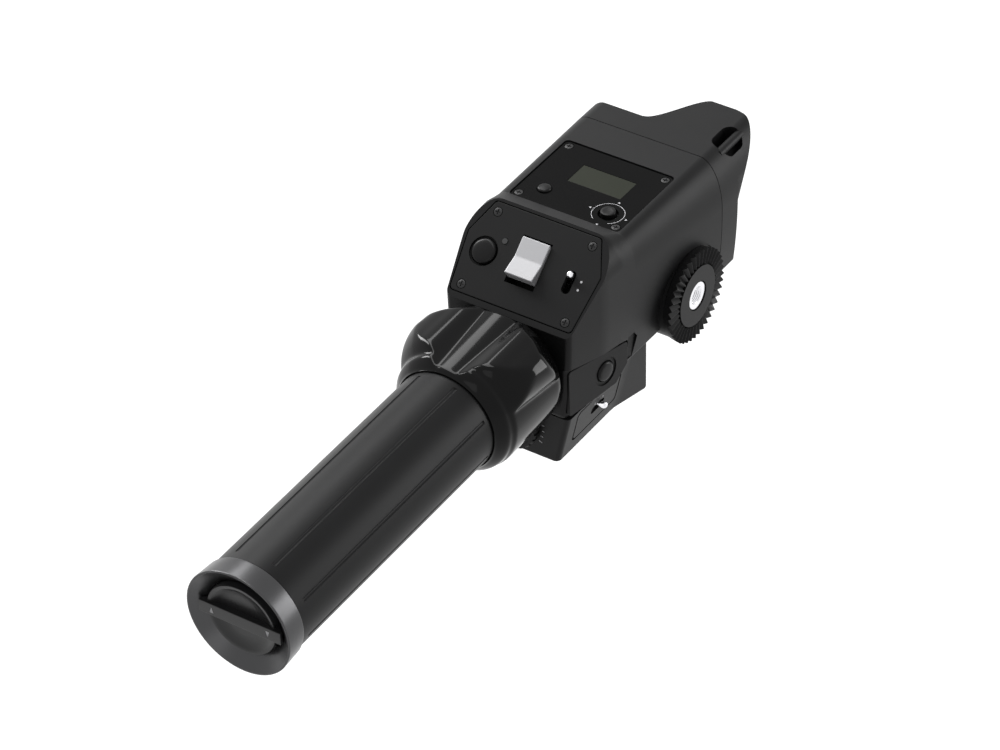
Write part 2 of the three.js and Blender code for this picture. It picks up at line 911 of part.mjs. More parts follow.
function bodyShell() {
  const inPanel = (shape) => placed(shape, onPanel.matrix);
  const inSide = (shape) => placed(shape, onSide.matrix);
  const inRosette = (shape) => placed(shape, onRosette.matrix);
  const inGrip = (shape) => placed(shape, onGrip.matrix);

  const pad = rod(rosette.padRadius, -rosette.thickness - gap - rosette.padDepth, -rosette.thickness - gap, steps);
  const outer = cut(bodyForm(body.rearY, body.seamY, 0, body.edge), inPanel(above(0)));

  const room = cut(
    bodyForm(body.rearY + body.rearWall, body.seamY + overrun, body.wall),
    above(displayUnder),
    inPanel(above(panelUnder)),
  );
  const hollow = cut(union(outer, inRosette(pad)), room);

  const bosses = union(
    ...switchScrews.map(({ x, y }) => inPanel(upright(screwBoss(panelSeat), x, y))),
    ...displayScrews.map(({ x, y }) => upright(screwBoss(displaySeat), x, y)),
  );
  const postFoot = -side.wallLeft - side.postLength;
  const post = (along) => upright(rod(side.postRadius, postFoot, -side.wallLeft + side.sink, smallSteps), sideButton.down, along);
  const postReach = sideButton.flange + gap + side.postRadius;
  const posts = inSide(union(post(sideButton.along - postReach), post(sideButton.along + postReach)));
  const solidBody = union(hollow, bosses, posts);

  const rockerWide = rocker.half + rocker.housingWall + gap * 2;
  const rockerLong = rocker.opening + rocker.housingWall + gap;
  const rockerRelief = [
    [rocker.x - rockerWide, -rocker.down - rockerLong, panelUnder - overrun],
    [rocker.x + rockerWide, -rocker.down + rockerLong, overrun],
  ];
  const functionRelief = rod(functionButton.flange + gap, panelUnder - overrun, panelSeat + overrun, steps);
  const panelCuts = union(
    slab(switchOutline(gap), panelSeat, overrun),
    slab(switchOutline(-panel.ledge), panelUnder - overrun, overrun),
    upright(functionRelief, functionButton.x, -functionButton.down),
    box(...rockerRelief),
    ...switchScrews.map(({ x, y }) => upright(screwHole(), x, y)),
  );
  const displayCuts = union(
    slab(displayOutline(gap, gap), displaySeat, overrun),
    slab(displayOutline(-display.sideLedge, -display.endLedge), displayUnder - overrun, overrun),
    windowAt(display.lcdMargin + gap, displayUnder - overrun, overrun),
    ...displayScrews.map(({ x, y }) => upright(screwHole(), x, y)),
  );
  const sideCuts = union(
    slab(sideOutline(gap), -side.sink - gap, side.sink),
    slab(pocketOutline, -side.pocketDepth, side.pocketDepth),
    upright(rod(sideButton.radius + gap, -side.end / 2, overrun, steps), sideButton.down, sideButton.along),
    upright(rod(sideButton.flange + gap, -side.end / 2, -side.wallLeft, steps), sideButton.down, sideButton.along),
  );
  const spigot = union(
    rod(rosette.spigot + gap, -rosette.thickness - rosette.spigotDepth - gap, 0, steps),
    rod(rosette.flange + gap, -rosette.thickness - gap - rosette.padDepth, -rosette.thickness - rosette.spigotDepth, steps),
    rod(rosette.radius + gap, -rosette.thickness - gap, reach),
  );
  const hatch = box([-body.hatchHalf, body.hatchRear, -reach], [body.hatchHalf, body.hatchFront, body.stepZ + body.wall * 2]);
  const rearHole = rod(drive.bushRadius + gap, body.rearY - overrun, body.rearY + body.rearWall + overrun);
  const dialReach = [dial.rearY - overrun, dial.rearY + dial.thickness + gap];
  const dialRelief = shifted(rod(dial.radius + gap * 2, ...dialReach), 0, 0, dial.z);
  const ownCuts = [inPanel(panelCuts), displayCuts, inSide(sideCuts), inRosette(spigot), inGrip(rearHole)];
  return cut(solidBody, ...ownCuts, hatch, dialRelief);
}

// The front cap: the body's end carried forward, and a hump whose front leans back as it goes down
function capForm(inset) {
  const start = body.seamY + gap - (inset > 0 ? overrun : 0);
  const ring = (y) => section(body.seamY, inset).map((p) => p.setY(y));
  const front = cap.frontY - inset;
  const plan = [[-body.seamHalf, 0]];
  const cornerSteps = 5;
  for (let k = 0; k <= cornerSteps; k += 1) {
    const angle = (quarterTurn * k) / cornerSteps;
    const x = -body.seamHalf + cap.cornerWidth * (1 - Math.cos(angle));
    plan.push([x, front - cap.cornerLength * (1 - Math.sin(angle))]);
  }
  plan.push([body.seamHalf, front], [body.seamHalf, 0]);
  const corners = slab(plan, body.bellyZ, body.crestZ);
  const main = loft([ring(start), ring(front)], flattenXZ).intersect(corners);

  const long = loft([ring(start), ring(cap.humpFront)], flattenXZ);
  const humpPlan = [[cap.humpLeft + inset, 0]];
  const riseSteps = 8;
  for (let k = 0; k <= riseSteps; k += 1) {
    const share = k / riseSteps;
    const y = lerp(cap.frontY, cap.humpFront, smooth(share)) - inset;
    humpPlan.push([lerp(cap.humpLeft, cap.humpRise, share) + inset, y]);
  }
  for (let k = 0; k <= cornerSteps; k += 1) {
    const angle = (quarterTurn * k) / cornerSteps;
    const x = lerp(cap.humpFlatRight, body.seamHalf, Math.sin(angle));
    humpPlan.push([x, lerp(cap.humpSideFront, cap.humpFront, Math.cos(angle)) - inset]);
  }
  humpPlan.push([body.seamHalf, 0]);
  const lean = new THREE.Matrix4().set(1, 0, 0, 0, 0, 1, cap.shear, 0, 0, 0, 1, 0, 0, 0, 0, 1);
  const hump = placed(slab(humpPlan, body.bellyZ, body.crestZ), lean).intersect(long);
  return union(main, hump);
}

function frontCap() {
  const seat = body.wall + gap;
  const seam = body.seamY + gap;
  const form = (from, to, inset) =>
    loft([from, to].map((y) => section(body.seamY, inset).map((p) => p.setY(y))), flattenXZ);
  const lip = cut(
    union(form(body.seamY - cap.lip, seam + cap.lipThickness, seat), form(seam, seam + cap.lipThickness, seat / 2)),
    form(-reach, reach, seat + cap.lipThickness),
    above(displayUnder - gap),
  );
  const skin = capForm(0);
  const pocket = (grow) =>
    rounded(rectangle(strap.left - grow, strap.rearY - grow, strap.right + grow, strap.frontY + grow), strap.corner);
  const cup = slab(pocket(strap.wall), strap.floorZ - strap.wall, body.crestZ).intersect(skin);
  const barEnds = [strap.rearY - strap.wall / 2, strap.frontY + strap.wall / 2];
  const bar = shifted(rod(strap.radius, ...barEnds, smallSteps), strap.barX, 0, strap.barZ);
  const walls = union(cut(skin, capForm(body.wall)), cup);
  const shell = union(cut(walls, slab(pocket(0), strap.floorZ, body.crestZ)), bar);
  const socketHole = shifted(rod(socket.radius + gap, cap.frontY - body.wall - overrun, cap.frontY + overrun, steps), socket.x, 0, socket.z);
  return cut(union(shell, lip), socketHole);
}

function casing() {
  add(demand, "body_shell", "shell", bodyShell());
  add(demand, "front_cap", "shell", frontCap());
  const sidePlate = cut(
    slab(sideOutline(0), -side.sink, side.proud),
    upright(rod(sideButton.radius + gap, -side.end, side.end, steps), sideButton.down, sideButton.along),
    upright(rod(sideButton.collar, side.proud - sideButton.collarDepth, side.end, steps), sideButton.down, sideButton.along),
  );
  add(onSide, "side_plate", "plate", sidePlate);
}

function chassisPlates() {
  const inGrip = (shape) => placed(shape, onGrip.matrix);
  const inset = body.wall + gap;
  const rearEnd = chassis.rearPlate + chassis.rearThickness;
  const rear = cut(
    bodyForm(chassis.rearPlate, rearEnd, inset),
    above(chassis.rearTop),
    inGrip(rod(drive.bushRadius + gap, chassis.rearPlate - overrun, rearEnd + overrun)),
  );
  add(demand, "rear_bulkhead", "alloy", rear);

  const frontEnd = chassis.frontPlate + chassis.frontThickness;
  const shelf = box(
    [-chassis.shelfHalf, chassis.frontPlate, chassis.shelfTop - chassis.shelfThickness],
    [chassis.shelfHalf, chassis.shelfEnd, chassis.shelfTop],
  );
  const front = cut(
    union(cut(bodyForm(chassis.frontPlate, frontEnd, inset), above(chassis.frontTop)), shelf),
    inGrip(rod(grip.spineRadius + gap, chassis.frontPlate - overrun, frontEnd + overrun)),
  );
  add(demand, "front_bulkhead", "alloy", front);

  const boardLow = chassis.shelfTop + gap;
  const boardTop = boardLow + chassis.boardThickness;
  const chip = (x, y, half, height) => box([x - half, y - half, boardLow], [x + half, y + half, boardTop + height]);
  const sheet = box([-chassis.boardHalf, chassis.boardRear, boardLow], [chassis.boardHalf, chassis.boardFront, boardTop]);
  const chipHalf = chassis.boardHalf / 4;
  const chipShare = 0.7;
  const chipY = chassis.boardRear + chipHalf * 3;
  const chips = [-2, 0, 2].map((k) => chip(k * chipHalf, chipY, chipHalf * chipShare, chassis.boardThickness));
  add(demand, "main_board", "board", union(sheet, ...chips));
}

function switchPanel() {
  const control = (shape, place) => shifted(shape, place.x, -place.down, 0);
  const rockerSlot = box([-rocker.half - gap, -rocker.opening, -reach], [rocker.half + gap, rocker.opening, reach]);
  const plate = cut(
    slab(switchOutline(0), -panel.thickness, 0),
    ...switchScrews.map(({ x, y }) => upright(screwHole(), x, y)),
    control(upright(rod(functionButton.radius + gap, -reach, reach, steps)), functionButton),
    control(upright(rod(functionButton.collar, -functionButton.collarDepth, reach, steps)), functionButton),
    control(upright(rod(lamp.radius + snug, -reach, reach, smallSteps)), lamp),
    control(rockerSlot, rocker),
    control(toggleSlot(), extender),
  );
  add(onPanel, "switch_plate", "plate", plate);
  fitScrews(onPanel, switchScrews);

  const button = add(onPanel, "function_button", "gloss", buttonShape(functionButton, panel.thickness));
  button.position.set(functionButton.x, -functionButton.down, 0);
  button.rotation.x = quarterTurn;

  const boardTop = panelSeat - rocker.housingDepth - gap;
  const boardLow = boardTop - display.boardThickness;
  const led = add(onPanel, "status_lamp", "lamp", rod(lamp.radius, boardTop + gap, lamp.rise, smallSteps));
  led.position.set(lamp.x, -lamp.down, 0);
  led.rotation.x = quarterTurn;

  const towerHalf = functionButton.radius / 2;
  const tower = box([-towerHalf, -towerHalf, boardLow], [towerHalf, towerHalf, buttonFoot(functionButton, panel.thickness)]);
  const sheet = slab(switchOutline(-panel.ledge - gap * 2), boardLow, boardTop);
  add(onPanel, "switch_board", "board", union(sheet, control(tower, functionButton)));

  rockerSwitch();
  fitToggle(onPanel, "extender_toggle", [extender.x, -extender.down, 0], panel.thickness, extender.swing);
}

function rockerSwitch() {
  const well = frame([rocker.x, -rocker.down, -rocker.pivotDepth], [0, 0, 0]);
  onPanel.add(well);
  const top = panelSeat + rocker.pivotDepth;
  const low = top - rocker.housingDepth;
  const innerX = rocker.half + gap;
  const outerX = innerX + rocker.housingWall;
  const outerY = rocker.opening + rocker.housingWall;
  const pinLine = (radius) => crosswise(rod(radius, -outerX, outerX, smallSteps));
  const housing = cut(
    box([-outerX, -outerY, low], [outerX, outerY, top]),
    box([-innerX, -rocker.opening, low + rocker.housingFloor], [innerX, rocker.opening, reach]),
    crosswise(rod(rocker.pin + gap, -outerX - overrun, outerX + overrun, smallSteps)),
  );
  add(well, "rocker_housing", "plate", housing);
  add(well, "rocker_pin", "steel", pinLine(rocker.pin));

  const side = [
    [-rocker.halfLength, rocker.endHeight],
    [-rocker.halfLength, rocker.endHeight - rocker.endThickness],
    [-rocker.keelHalf, -rocker.keel],
    [rocker.keelHalf, -rocker.keel],
    [rocker.halfLength, rocker.endHeight - rocker.endThickness],
    [rocker.halfLength, rocker.endHeight],
    [0, rocker.middleHeight],
  ];
  const bore = crosswise(rod(rocker.pin + gap, -outerX, outerX, smallSteps));
  const paddle = add(well, "rocker", "white", cut(slabAlongX(side, -rocker.half, rocker.half), bore));
  paddle.rotation.x = -rocker.swing * radian;
}

// Toggle pieces in their own frame: out of the plate is +Z, and the lever swings along Y
const toggleSlot = () =>
  slab(
    rounded(
      rectangle(-toggle.slotHalf, -toggle.slotHalfLength, toggle.slotHalf, toggle.slotHalfLength),
      toggle.slotCorner,
    ),
    -reach,
    reach,
  );

function fitToggle(group, name, place, plateThickness, swing) {
  const well = frame(place, [0, 0, 0]);
  group.add(well);
  const top = -plateThickness - gap;
  const half = toggle.bodyHalf;
  const pivot = -toggle.pivotDepth;
  const slotX = toggle.slotHalf + gap;
  const body = cut(
    box([-half, -toggle.bodyHalfLength, top - toggle.bodyDepth], [half, toggle.bodyHalfLength, top]),
    box([-slotX, -toggle.slotHalfLength, pivot - toggle.ball - gap], [slotX, toggle.slotHalfLength, reach]),
    box([-toggle.pinHalf - gap, -toggle.pin - gap, pivot - toggle.pin - gap], [toggle.pinHalf + gap, toggle.pin + gap, reach]),
  );
  add(well, name + "_body", "plate", body);

  const bat = turned(
    [
      [0, -toggle.ball],
      [toggle.ball * Math.SQRT1_2, -toggle.ball * Math.SQRT1_2],
      [toggle.ball, 0],
      [toggle.neck, toggle.ball],
      [toggle.neck, toggle.neckHeight],
      [toggle.bat, toggle.batHeight],
      [toggle.bat * Math.SQRT1_2, toggle.span - toggle.bat * (1 - Math.SQRT1_2)],
      [0, toggle.span],
    ],
    smallSteps,
  );
  const pin = crosswise(rod(toggle.pin, -toggle.pinHalf, toggle.pinHalf, smallSteps));
  const lever = add(well, name, "bright", union(upright(bat), pin));
  lever.position.set(0, 0, pivot);
  lever.rotation.x = -swing * radian;
}

function displayPanel() {
  const plate = cut(
    slab(displayOutline(0, 0), -display.thickness, 0),
    windowAt(0, -reach, reach),
    ...displayScrews.map(({ x, y }) => upright(screwHole(), x, y)),
    upright(rod(displayButton.radius + gap, -reach, reach, steps), displayButton.x, displayButton.y),
    upright(rod(stick.hole, -reach, reach, steps), stick.x, stick.y),
  );
  add(demand, "display_panel", "gloss", plate);
  fitScrews(demand, displayScrews);
  const windowFace = -display.windowSink;
  add(demand, "display_window", "glass", windowAt(-snug, windowFace - display.windowThickness, windowFace));

  const boardTop = displaySeat - display.lcdThickness - gap;
  const boardLow = boardTop - display.boardThickness;
  add(demand, "lcd_module", "plate", windowAt(display.lcdMargin, displaySeat - display.lcdThickness, displaySeat));
  const sheetSide = -display.sideLedge - gap * 2;
  const sheet = slab(displayOutline(sheetSide, -display.endLedge - gap * 2), boardLow, boardTop);
  const towerHalf = displayButton.radius - gap;
  const tower = shifted(
    box([-towerHalf, -towerHalf, boardLow], [towerHalf, towerHalf, buttonFoot(displayButton, display.thickness)]),
    displayButton.x,
    displayButton.y,
    0,
  );
  add(demand, "display_board", "board", union(sheet, tower));

  const button = add(demand, "display_button", "gloss", buttonShape(displayButton, display.thickness));
  button.position.set(displayButton.x, displayButton.y, 0);
  button.rotation.x = quarterTurn;
  joystick(boardTop);
}

function joystick(boardTop) {
  const well = frame([stick.x, stick.y, -stick.pivotDepth], [0, 0, 0]);
  demand.add(well);
  const top = displaySeat + stick.pivotDepth;
  const low = boardTop + gap + stick.pivotDepth;
  const half = stick.bodyHalf;
  const module = cut(
    box([-half, -half, low], [half, half, top]),
    upright(rod(stick.well, low + stick.floor, top + overrun, steps)),
  );
  add(well, "joystick_body", "plate", module);
  add(well, "joystick_gimbal", "steel", upright(pipe(stick.ringInner, stick.ringOuter, -stick.ringHalf, stick.ringHalf, steps)));
  const foot = -stick.stemFoot;
  const skirt = stick.pivotDepth - stick.skirt;
  const face = stick.pivotDepth + stick.rise;
  const cap = turned(
    [
      [0, foot],
      [stick.stem, foot],
      [stick.stem, skirt],
      [stick.radius, skirt],
      [stick.radius, face - stick.dome],
      [stick.radius - stick.dome, face - stick.dome / 4],
      [0, face],
    ],
    steps,
  );
  add(well, "joystick_cap", "gloss", upright(cap));
}

function sideButtonParts() {
  const plateThickness = side.wallLeft;
  const button = add(onSide, "side_button", "gloss", buttonShape(sideButton, plateThickness));
  button.position.set(sideButton.down, sideButton.along, 0);
  button.rotation.x = quarterTurn;
  const boardTop = -side.wallLeft - side.postLength - gap;
  const half = sideButton.flange + gap + side.postRadius * 2;
  const tower = sideButton.radius / 2;
  const foot = buttonFoot(sideButton, plateThickness);
  const board = union(
    box([-tower * 2, -half, boardTop - side.boardThickness], [tower * 2, half, boardTop]),
    box([-tower, -tower, boardTop - side.boardThickness], [tower, tower, foot]),
  );
  const made = add(onSide, "side_switch_board", "board", board);
  made.position.set(sideButton.down, sideButton.along, 0);
}

function rosetteParts() {
  const rear = -rosette.thickness;
  const spigotEnd = rear - rosette.spigotDepth;
  const bore = rosette.insertRadius + gap;
  const disc = turned([
    [bore, spigotEnd],
    [rosette.spigot, spigotEnd],
    [rosette.spigot, rear],
    [rosette.rearRadius, rear],
    [rosette.radius, 0],
    [bore, 0],
    [bore, spigotEnd],
  ]);
  const moat = pipe(rosette.bossRadius, rosette.toothInner, -rosette.toothDepth, overrun);
  // One groove between two teeth: a wedge that widens and deepens outwards
  const wedge = (r) => {
    const half = (Math.PI * r * rosette.toothShare) / rosette.teeth;
    const depth = (rosette.toothDepth * r) / rosette.radius;
    const above = overrun / 2;
    const spread = half * (1 + above / depth);
    return [[r, -depth, 0], [r, above, spread], [r, above, -spread]];
  };
  const groove = wasm.Manifold.hull([...wedge(rosette.bossRadius), ...wedge(rosette.radius + overrun)]);
  const grooves = Array.from({ length: rosette.teeth }, (_, k) =>
    placed(groove, new THREE.Matrix4().makeRotationY((k / rosette.teeth) * 2 * Math.PI)),
  );
  const kept = rod(rosette.bossRadius + snug, -reach, reach);
  const toothed = cut(disc, moat, cut(union(...grooves), kept));
  add(onRosette, "rosette_mount", "shell", toothed);

  const flangeTop = spigotEnd - gap;
  const flangeEnd = flangeTop - rosette.flangeThickness;
  const insert = turned([
    [rosette.insertBore, flangeEnd],
    [rosette.flange, flangeEnd],
    [rosette.flange, flangeTop],
    [rosette.insertRadius, flangeTop],
    [rosette.insertRadius, -rosette.insertSink],
    [rosette.insertBore, -rosette.insertSink],
    [rosette.insertBore, flangeEnd],
  ], steps);
  add(onRosette, "rosette_insert", "bright", insert);
}

// The block under the body
function blockRing(z, inset) {
  const share = (z - block.bottomZ) / (block.topZ - block.bottomZ);
  const half = lerp(block.bottomHalf, block.topHalf, share) - inset;
  const flare = lerp(block.bottomFlare, block.topFlare, share) - inset;
  const rear = block.rearY + inset;
  const front = lerp(block.bottomFrontY, block.topFrontY, share) - inset;
  const corner = block.corner;
  const right = [
    [half - corner, rear],
    [half, rear + corner],
    [half, block.straightY],
    [flare, front - block.noseLength],
    [flare - corner, front],
  ];
  const left = right.map(([x, y]) => [-x, y]).reverse();
  return [...right, ...left].map(([x, y]) => new THREE.Vector3(x, y, z));
}

function lowerBlock() {
  const outer = cut(
    loft(
      [blockRing(block.bottomZ, block.edge), blockRing(block.bottomZ + block.edge, 0), blockRing(block.highZ, 0)],
      flattenXY,
    ),
    box([-reach, -reach, block.shoulderZ], [reach, body.bellyY, reach]),
  );
  const room = loft([blockRing(block.bottomZ + block.wall, block.wall), blockRing(block.highZ + overrun, block.wall)], flattenXY);
  const bodySkin = bodyForm(body.rearY - overrun, body.seamY, -gap);
  const wallDepth = lowerToggle.z - block.plateLow;
  const wallRise = block.plateTop - lowerToggle.z;
  const field = (grow, top) =>
    slab(
      rounded(
        rectangle(
          -wallRise - grow,
          block.plateRear - lowerToggle.y - grow,
          wallDepth + grow,
          block.plateFront - lowerToggle.y + grow,
        ),
        block.corner,
      ),
      -block.grooveDepth,
      top,
    );
  const groove = cut(field(block.grooveHalf, block.wall), field(-block.grooveHalf, block.wall + overrun));
  const shaftHole = shifted(rod(dial.shaft + gap, block.rearY - overrun, block.rearY + block.wall + overrun, steps), 0, 0, dial.z);
  const onWall = placed(union(groove, toggleSlot()), onBlock.matrix);
  add(demand, "lower_block", "shell", cut(outer, room, bodySkin, onWall, shaftHole));
  fitToggle(onBlock, "lower_toggle", [0, 0, 0], block.wall, lowerToggle.swing);
}

function speedDial() {
  const stand = frame([0, 0, dial.z], [0, 0, 0]);
  demand.add(stand);
  const face = dial.rearY;
  const back = dial.rearY + dial.thickness;
  const edge = dial.fluteRadius;
  const disc = turned([[0, face], [dial.radius - edge, face], [dial.radius, face + edge], [dial.radius, back], [0, back]]);
  const flutes = Array.from({ length: dial.flutes }, (_, k) => {
    const angle = ((k + 0.5) / dial.flutes) * 2 * Math.PI;
    const at = [dial.radius * Math.cos(angle), 0, dial.radius * Math.sin(angle)];
    return shifted(rod(dial.fluteRadius, face - overrun, back + overrun, smallSteps / 2), ...at);
  });
  const shaftEnd = back + dial.shaftLength;
  const shaft = rod(dial.shaft, back - overrun, shaftEnd, steps);
  add(stand, "speed_dial", "gloss", union(cut(disc, ...flutes), shaft));
  const potRear = block.rearY + block.wall + gap;
  const half = dial.potHalf;
  const pot = cut(
    box([-half, potRear, -half], [half, potRear + dial.potLength, half]),
    rod(dial.shaft + gap, potRear - overrun, shaftEnd + gap, steps),
  );
  add(stand, "dial_potentiometer", "steel", pot);
}

// The grip, from its end ring to the twist ring
function gripParts() {
  const mid = (grip.grooveFront + grip.grooveRear) / 2;
  const length = grip.grooveFront - grip.grooveRear - grip.grooveRadius * 2;
  const lie = grip.radius + grip.grooveRadius - grip.grooveDepth;
  const grooves = Array.from({ length: grip.grooveCount }, (_, k) => {
    const angle = grip.grooveTurn * radian + (k / grip.grooveCount) * 2 * Math.PI;
    const capsule = solid(new THREE.CapsuleGeometry(grip.grooveRadius, length, 3, smallSteps));
    return shifted(capsule, lie * Math.cos(angle), mid, lie * Math.sin(angle));
  });
  add(onGrip, "grip_sleeve", "sleeve", cut(pipe(grip.inner, grip.radius, grip.rear, grip.front), ...grooves));

  const slotEnd = drive.slotEnd;
  const lug = drive.nutLug / 2 + gap;
  const slots = box(
    [-grip.radius, drive.nutRear - slotEnd, -lug],
    [grip.radius, drive.nutFront + slotEnd, lug],
  );
  add(onGrip, "grip_spine", "steel", cut(pipe(grip.spineInner, grip.spineRadius, grip.spineRear, grip.spineFront, steps), slots));

  const plug = grip.inner - gap;
  const spigot = plug - body.wall;
  const spineHole = grip.spineRadius + gap;
  const shaftHole = drive.shaftRadius + gap;
  const rearPlug = turned([
    [shaftHole, grip.rear],
    [plug, grip.rear],
    [plug, grip.plugFace],
    [spigot, grip.plugFace],
    [spigot, grip.plugFace + grip.plugSpigot],
    [spineHole, grip.plugFace + grip.plugSpigot],
    [spineHole, grip.spineRear - gap],
    [shaftHole, grip.spineRear - gap],
    [shaftHole, grip.rear],
  ], steps);
  add(onGrip, "grip_rear_plug", "alloy", rearPlug);
  const frontPlug = turned([
    [spineHole, grip.frontPlugFace - grip.plugSpigot],
    [spigot, grip.frontPlugFace - grip.plugSpigot],
    [spigot, grip.frontPlugFace],
    [plug, grip.frontPlugFace],
    [plug, grip.frontPlugEnd],
    [spineHole, grip.frontPlugEnd],
    [spineHole, grip.frontPlugFace - grip.plugSpigot],
  ], steps);
  add(onGrip, "grip_front_plug", "alloy", frontPlug);

  const cone = endRing.rim + endRing.coneDepth;
  const ring = turned([
    [endRing.mouth, endRing.rim],
    [endRing.radius - endRing.edge, endRing.rim],
    [endRing.radius, endRing.rim + endRing.edge],
    [endRing.frontRadius, endRing.front],
    [endRing.throat, endRing.front],
    [endRing.throat, cone],
    [endRing.mouth, endRing.rim],
  ]);
  add(onGrip, "end_ring", "dark_metal", ring);
  torqueKnob();
}

function torqueKnob() {
  const face = endRing.rim + knob.faceDepth;
  const rimY = endRing.rim + knob.rimDepth;
  const dishY = endRing.rim + knob.dishDepth;
  const seat = endRing.rim + endRing.coneDepth;
  const disc = turned([
    [0, dishY],
    [knob.dishRadius, dishY],
    [knob.radius - gap, rimY],
    [knob.radius, seat],
    [knob.radius, knob.front],
    [0, knob.front],
  ]);
  const root = face + knob.barRootThickness;
  const tip = face + knob.barTipThickness;
  const outline = [
    [-knob.barHalf, face],
    [knob.barHalf, face],
    [knob.barHalf, tip],
    [knob.radius - gap, root],
    [-knob.radius + gap, root],
    [-knob.barHalf, tip],
  ];
  const bar = slab(outline, -knob.barWidth / 2, knob.barWidth / 2);
  const bore = rod(knob.bore, knob.front - knob.boreDepth, knob.front + overrun, steps);
  add(onGrip, "torque_knob", "dark_metal", cut(union(disc, bar), bore));
  add(onGrip, "torque_shaft", "steel", rod(drive.shaftRadius, drive.shaftRear, drive.shaftFront, steps));
}

// The twist ring's radius at a share of its length, and an angle from the top in degrees
function twistRadius(share, turn) {
  const { radius, peakRadius } = twist;
  const rear = lerp(twist.rearRadius, peakRadius, along(rearConeShares, share));
  const front = lerp(twist.frontRadius, peakRadius, along(frontSlopeShares, share));
  const valley = lerp(twist.scallopRear, twist.scallopFront, share);
  const inner = lerp(twist.scallopRear, peakRadius, along(lobeShares, turn / twist.peakTurn));
  const flankEnd = lerp(twist.flankRearTurn, twist.flankFrontTurn, share);
  const outer = lerp(radius, peakRadius, Math.cos(quarterTurn * ramp(turn, twist.peakTurn, flankEnd)));
  const lobe = turn < twist.peakTurn ? Math.max(inner, valley) : outer;
  return Math.min(rear, lobe, share < frontSlopeShares[0][0] ? lobe : front);
}

function twistRing() {
  const half = twist.turns.slice(1, -1);
  const turns = [...twist.turns, ...half.reverse().map((turn) => -turn)];
  const shares = [0, 0.054, 0.119, 0.162, 0.216, 0.27, 0.324, 0.378, 0.486, 0.595, 0.703, 0.811, 0.919, 0.985, 1];
  const rings = shares.map((share) =>
    turns.map((turn) => {
      const r = twistRadius(share, Math.abs(turn)) - (share === 1 ? twist.edge : 0);
      return new THREE.Vector3(r * Math.sin(turn * radian), lerp(twist.rear, twist.front, share), r * Math.cos(turn * radian));
    }),
  );
  const ring = cut(
    loft(rings, flattenXZ),
    rod(twist.mouth, twist.rear - overrun, twist.mouthFloor),
    rod(drive.hubRadius + gap, twist.mouthFloor - overrun, twist.front + overrun),
  );
  add(onGrip, "twist_ring", "gloss", ring);
}

function driveParts() {
  const bore = grip.spineRadius + gap;
  const flange = drive.hubFront - drive.flangeThickness;
  const hub = turned([
    [bore, drive.hubRear],
    [drive.hubRadius, drive.hubRear],
    [drive.hubRadius, flange],
    [drive.flangeRadius, flange],
    [drive.flangeRadius, drive.hubFront],
    [bore, drive.hubFront],
    [bore, drive.hubRear],
  ], steps);
  add(onGrip, "ring_hub", "alloy", hub);
  const seat = drive.hubRadius + gap;
  add(onGrip, "hub_bush", "bronze", pipe(seat, drive.bushRadius, drive.bushRear, drive.bushFront, steps));

  const pinionTurn = drive.pinionTurn * radian;
  const halfTooth = Math.PI / drive.gearTeeth;
  const wheel = gear(drive.gearTeeth, pinionTurn + halfTooth, drive.gearRear, drive.gearFront);
  add(onGrip, "drive_gear", "nylon", cut(wheel, rod(seat, drive.gearRear - overrun, drive.gearFront + overrun, steps)));

  const centres = (drive.module * (drive.gearTeeth + drive.pinionTeeth)) / 2 + drive.mesh;
  const shaft = frame([centres * Math.cos(pinionTurn), 0, centres * Math.sin(pinionTurn)], [0, 0, 0]);
  onGrip.add(shaft);
  const stub = rod(drive.pinionShaft, drive.gearRear - drive.pinionShaftLength, drive.gearRear + overrun, smallSteps);
  add(shaft, "sensor_pinion", "nylon", union(gear(drive.pinionTeeth, pinionTurn + Math.PI, drive.gearRear, drive.gearFront), stub));
  const encoder = cut(
    rod(drive.encoderRadius, drive.encoderRear, drive.encoderFront, steps),
    rod(drive.pinionShaft + gap, drive.encoderFront - drive.encoderBore, drive.encoderFront + overrun, smallSteps),
  );
  add(shaft, "encoder", "steel", encoder);

  add(onGrip, "centring_spring", "steel", coil(drive.springRadius, drive.springWire, drive.springTurns, drive.springRear, drive.springFront));
  add(onGrip, "friction_disc", "friction", pipe(bore, drive.discRadius, drive.discRear, drive.discFront, steps));
  add(onGrip, "friction_spring", "steel", coil(drive.frictionSpringRadius, drive.frictionWire, drive.frictionTurns, drive.frictionRear, drive.frictionFront));

  const lug = drive.nutLug / 2;
  const boss = grip.spineInner - gap;
  const nut = cut(
    union(
      rod(boss, drive.nutRear, drive.nutFront, steps),
      pipe(bore, drive.discRadius, drive.nutRear, drive.nutFront, steps),
      box([-bore - overrun, drive.nutRear, -lug], [bore + overrun, drive.nutFront, lug]),
    ),
    rod(drive.shaftRadius + gap, drive.nutRear - overrun, drive.nutFront + overrun, steps),
  );
  add(onGrip, "torque_nut", "bronze", nut);
}

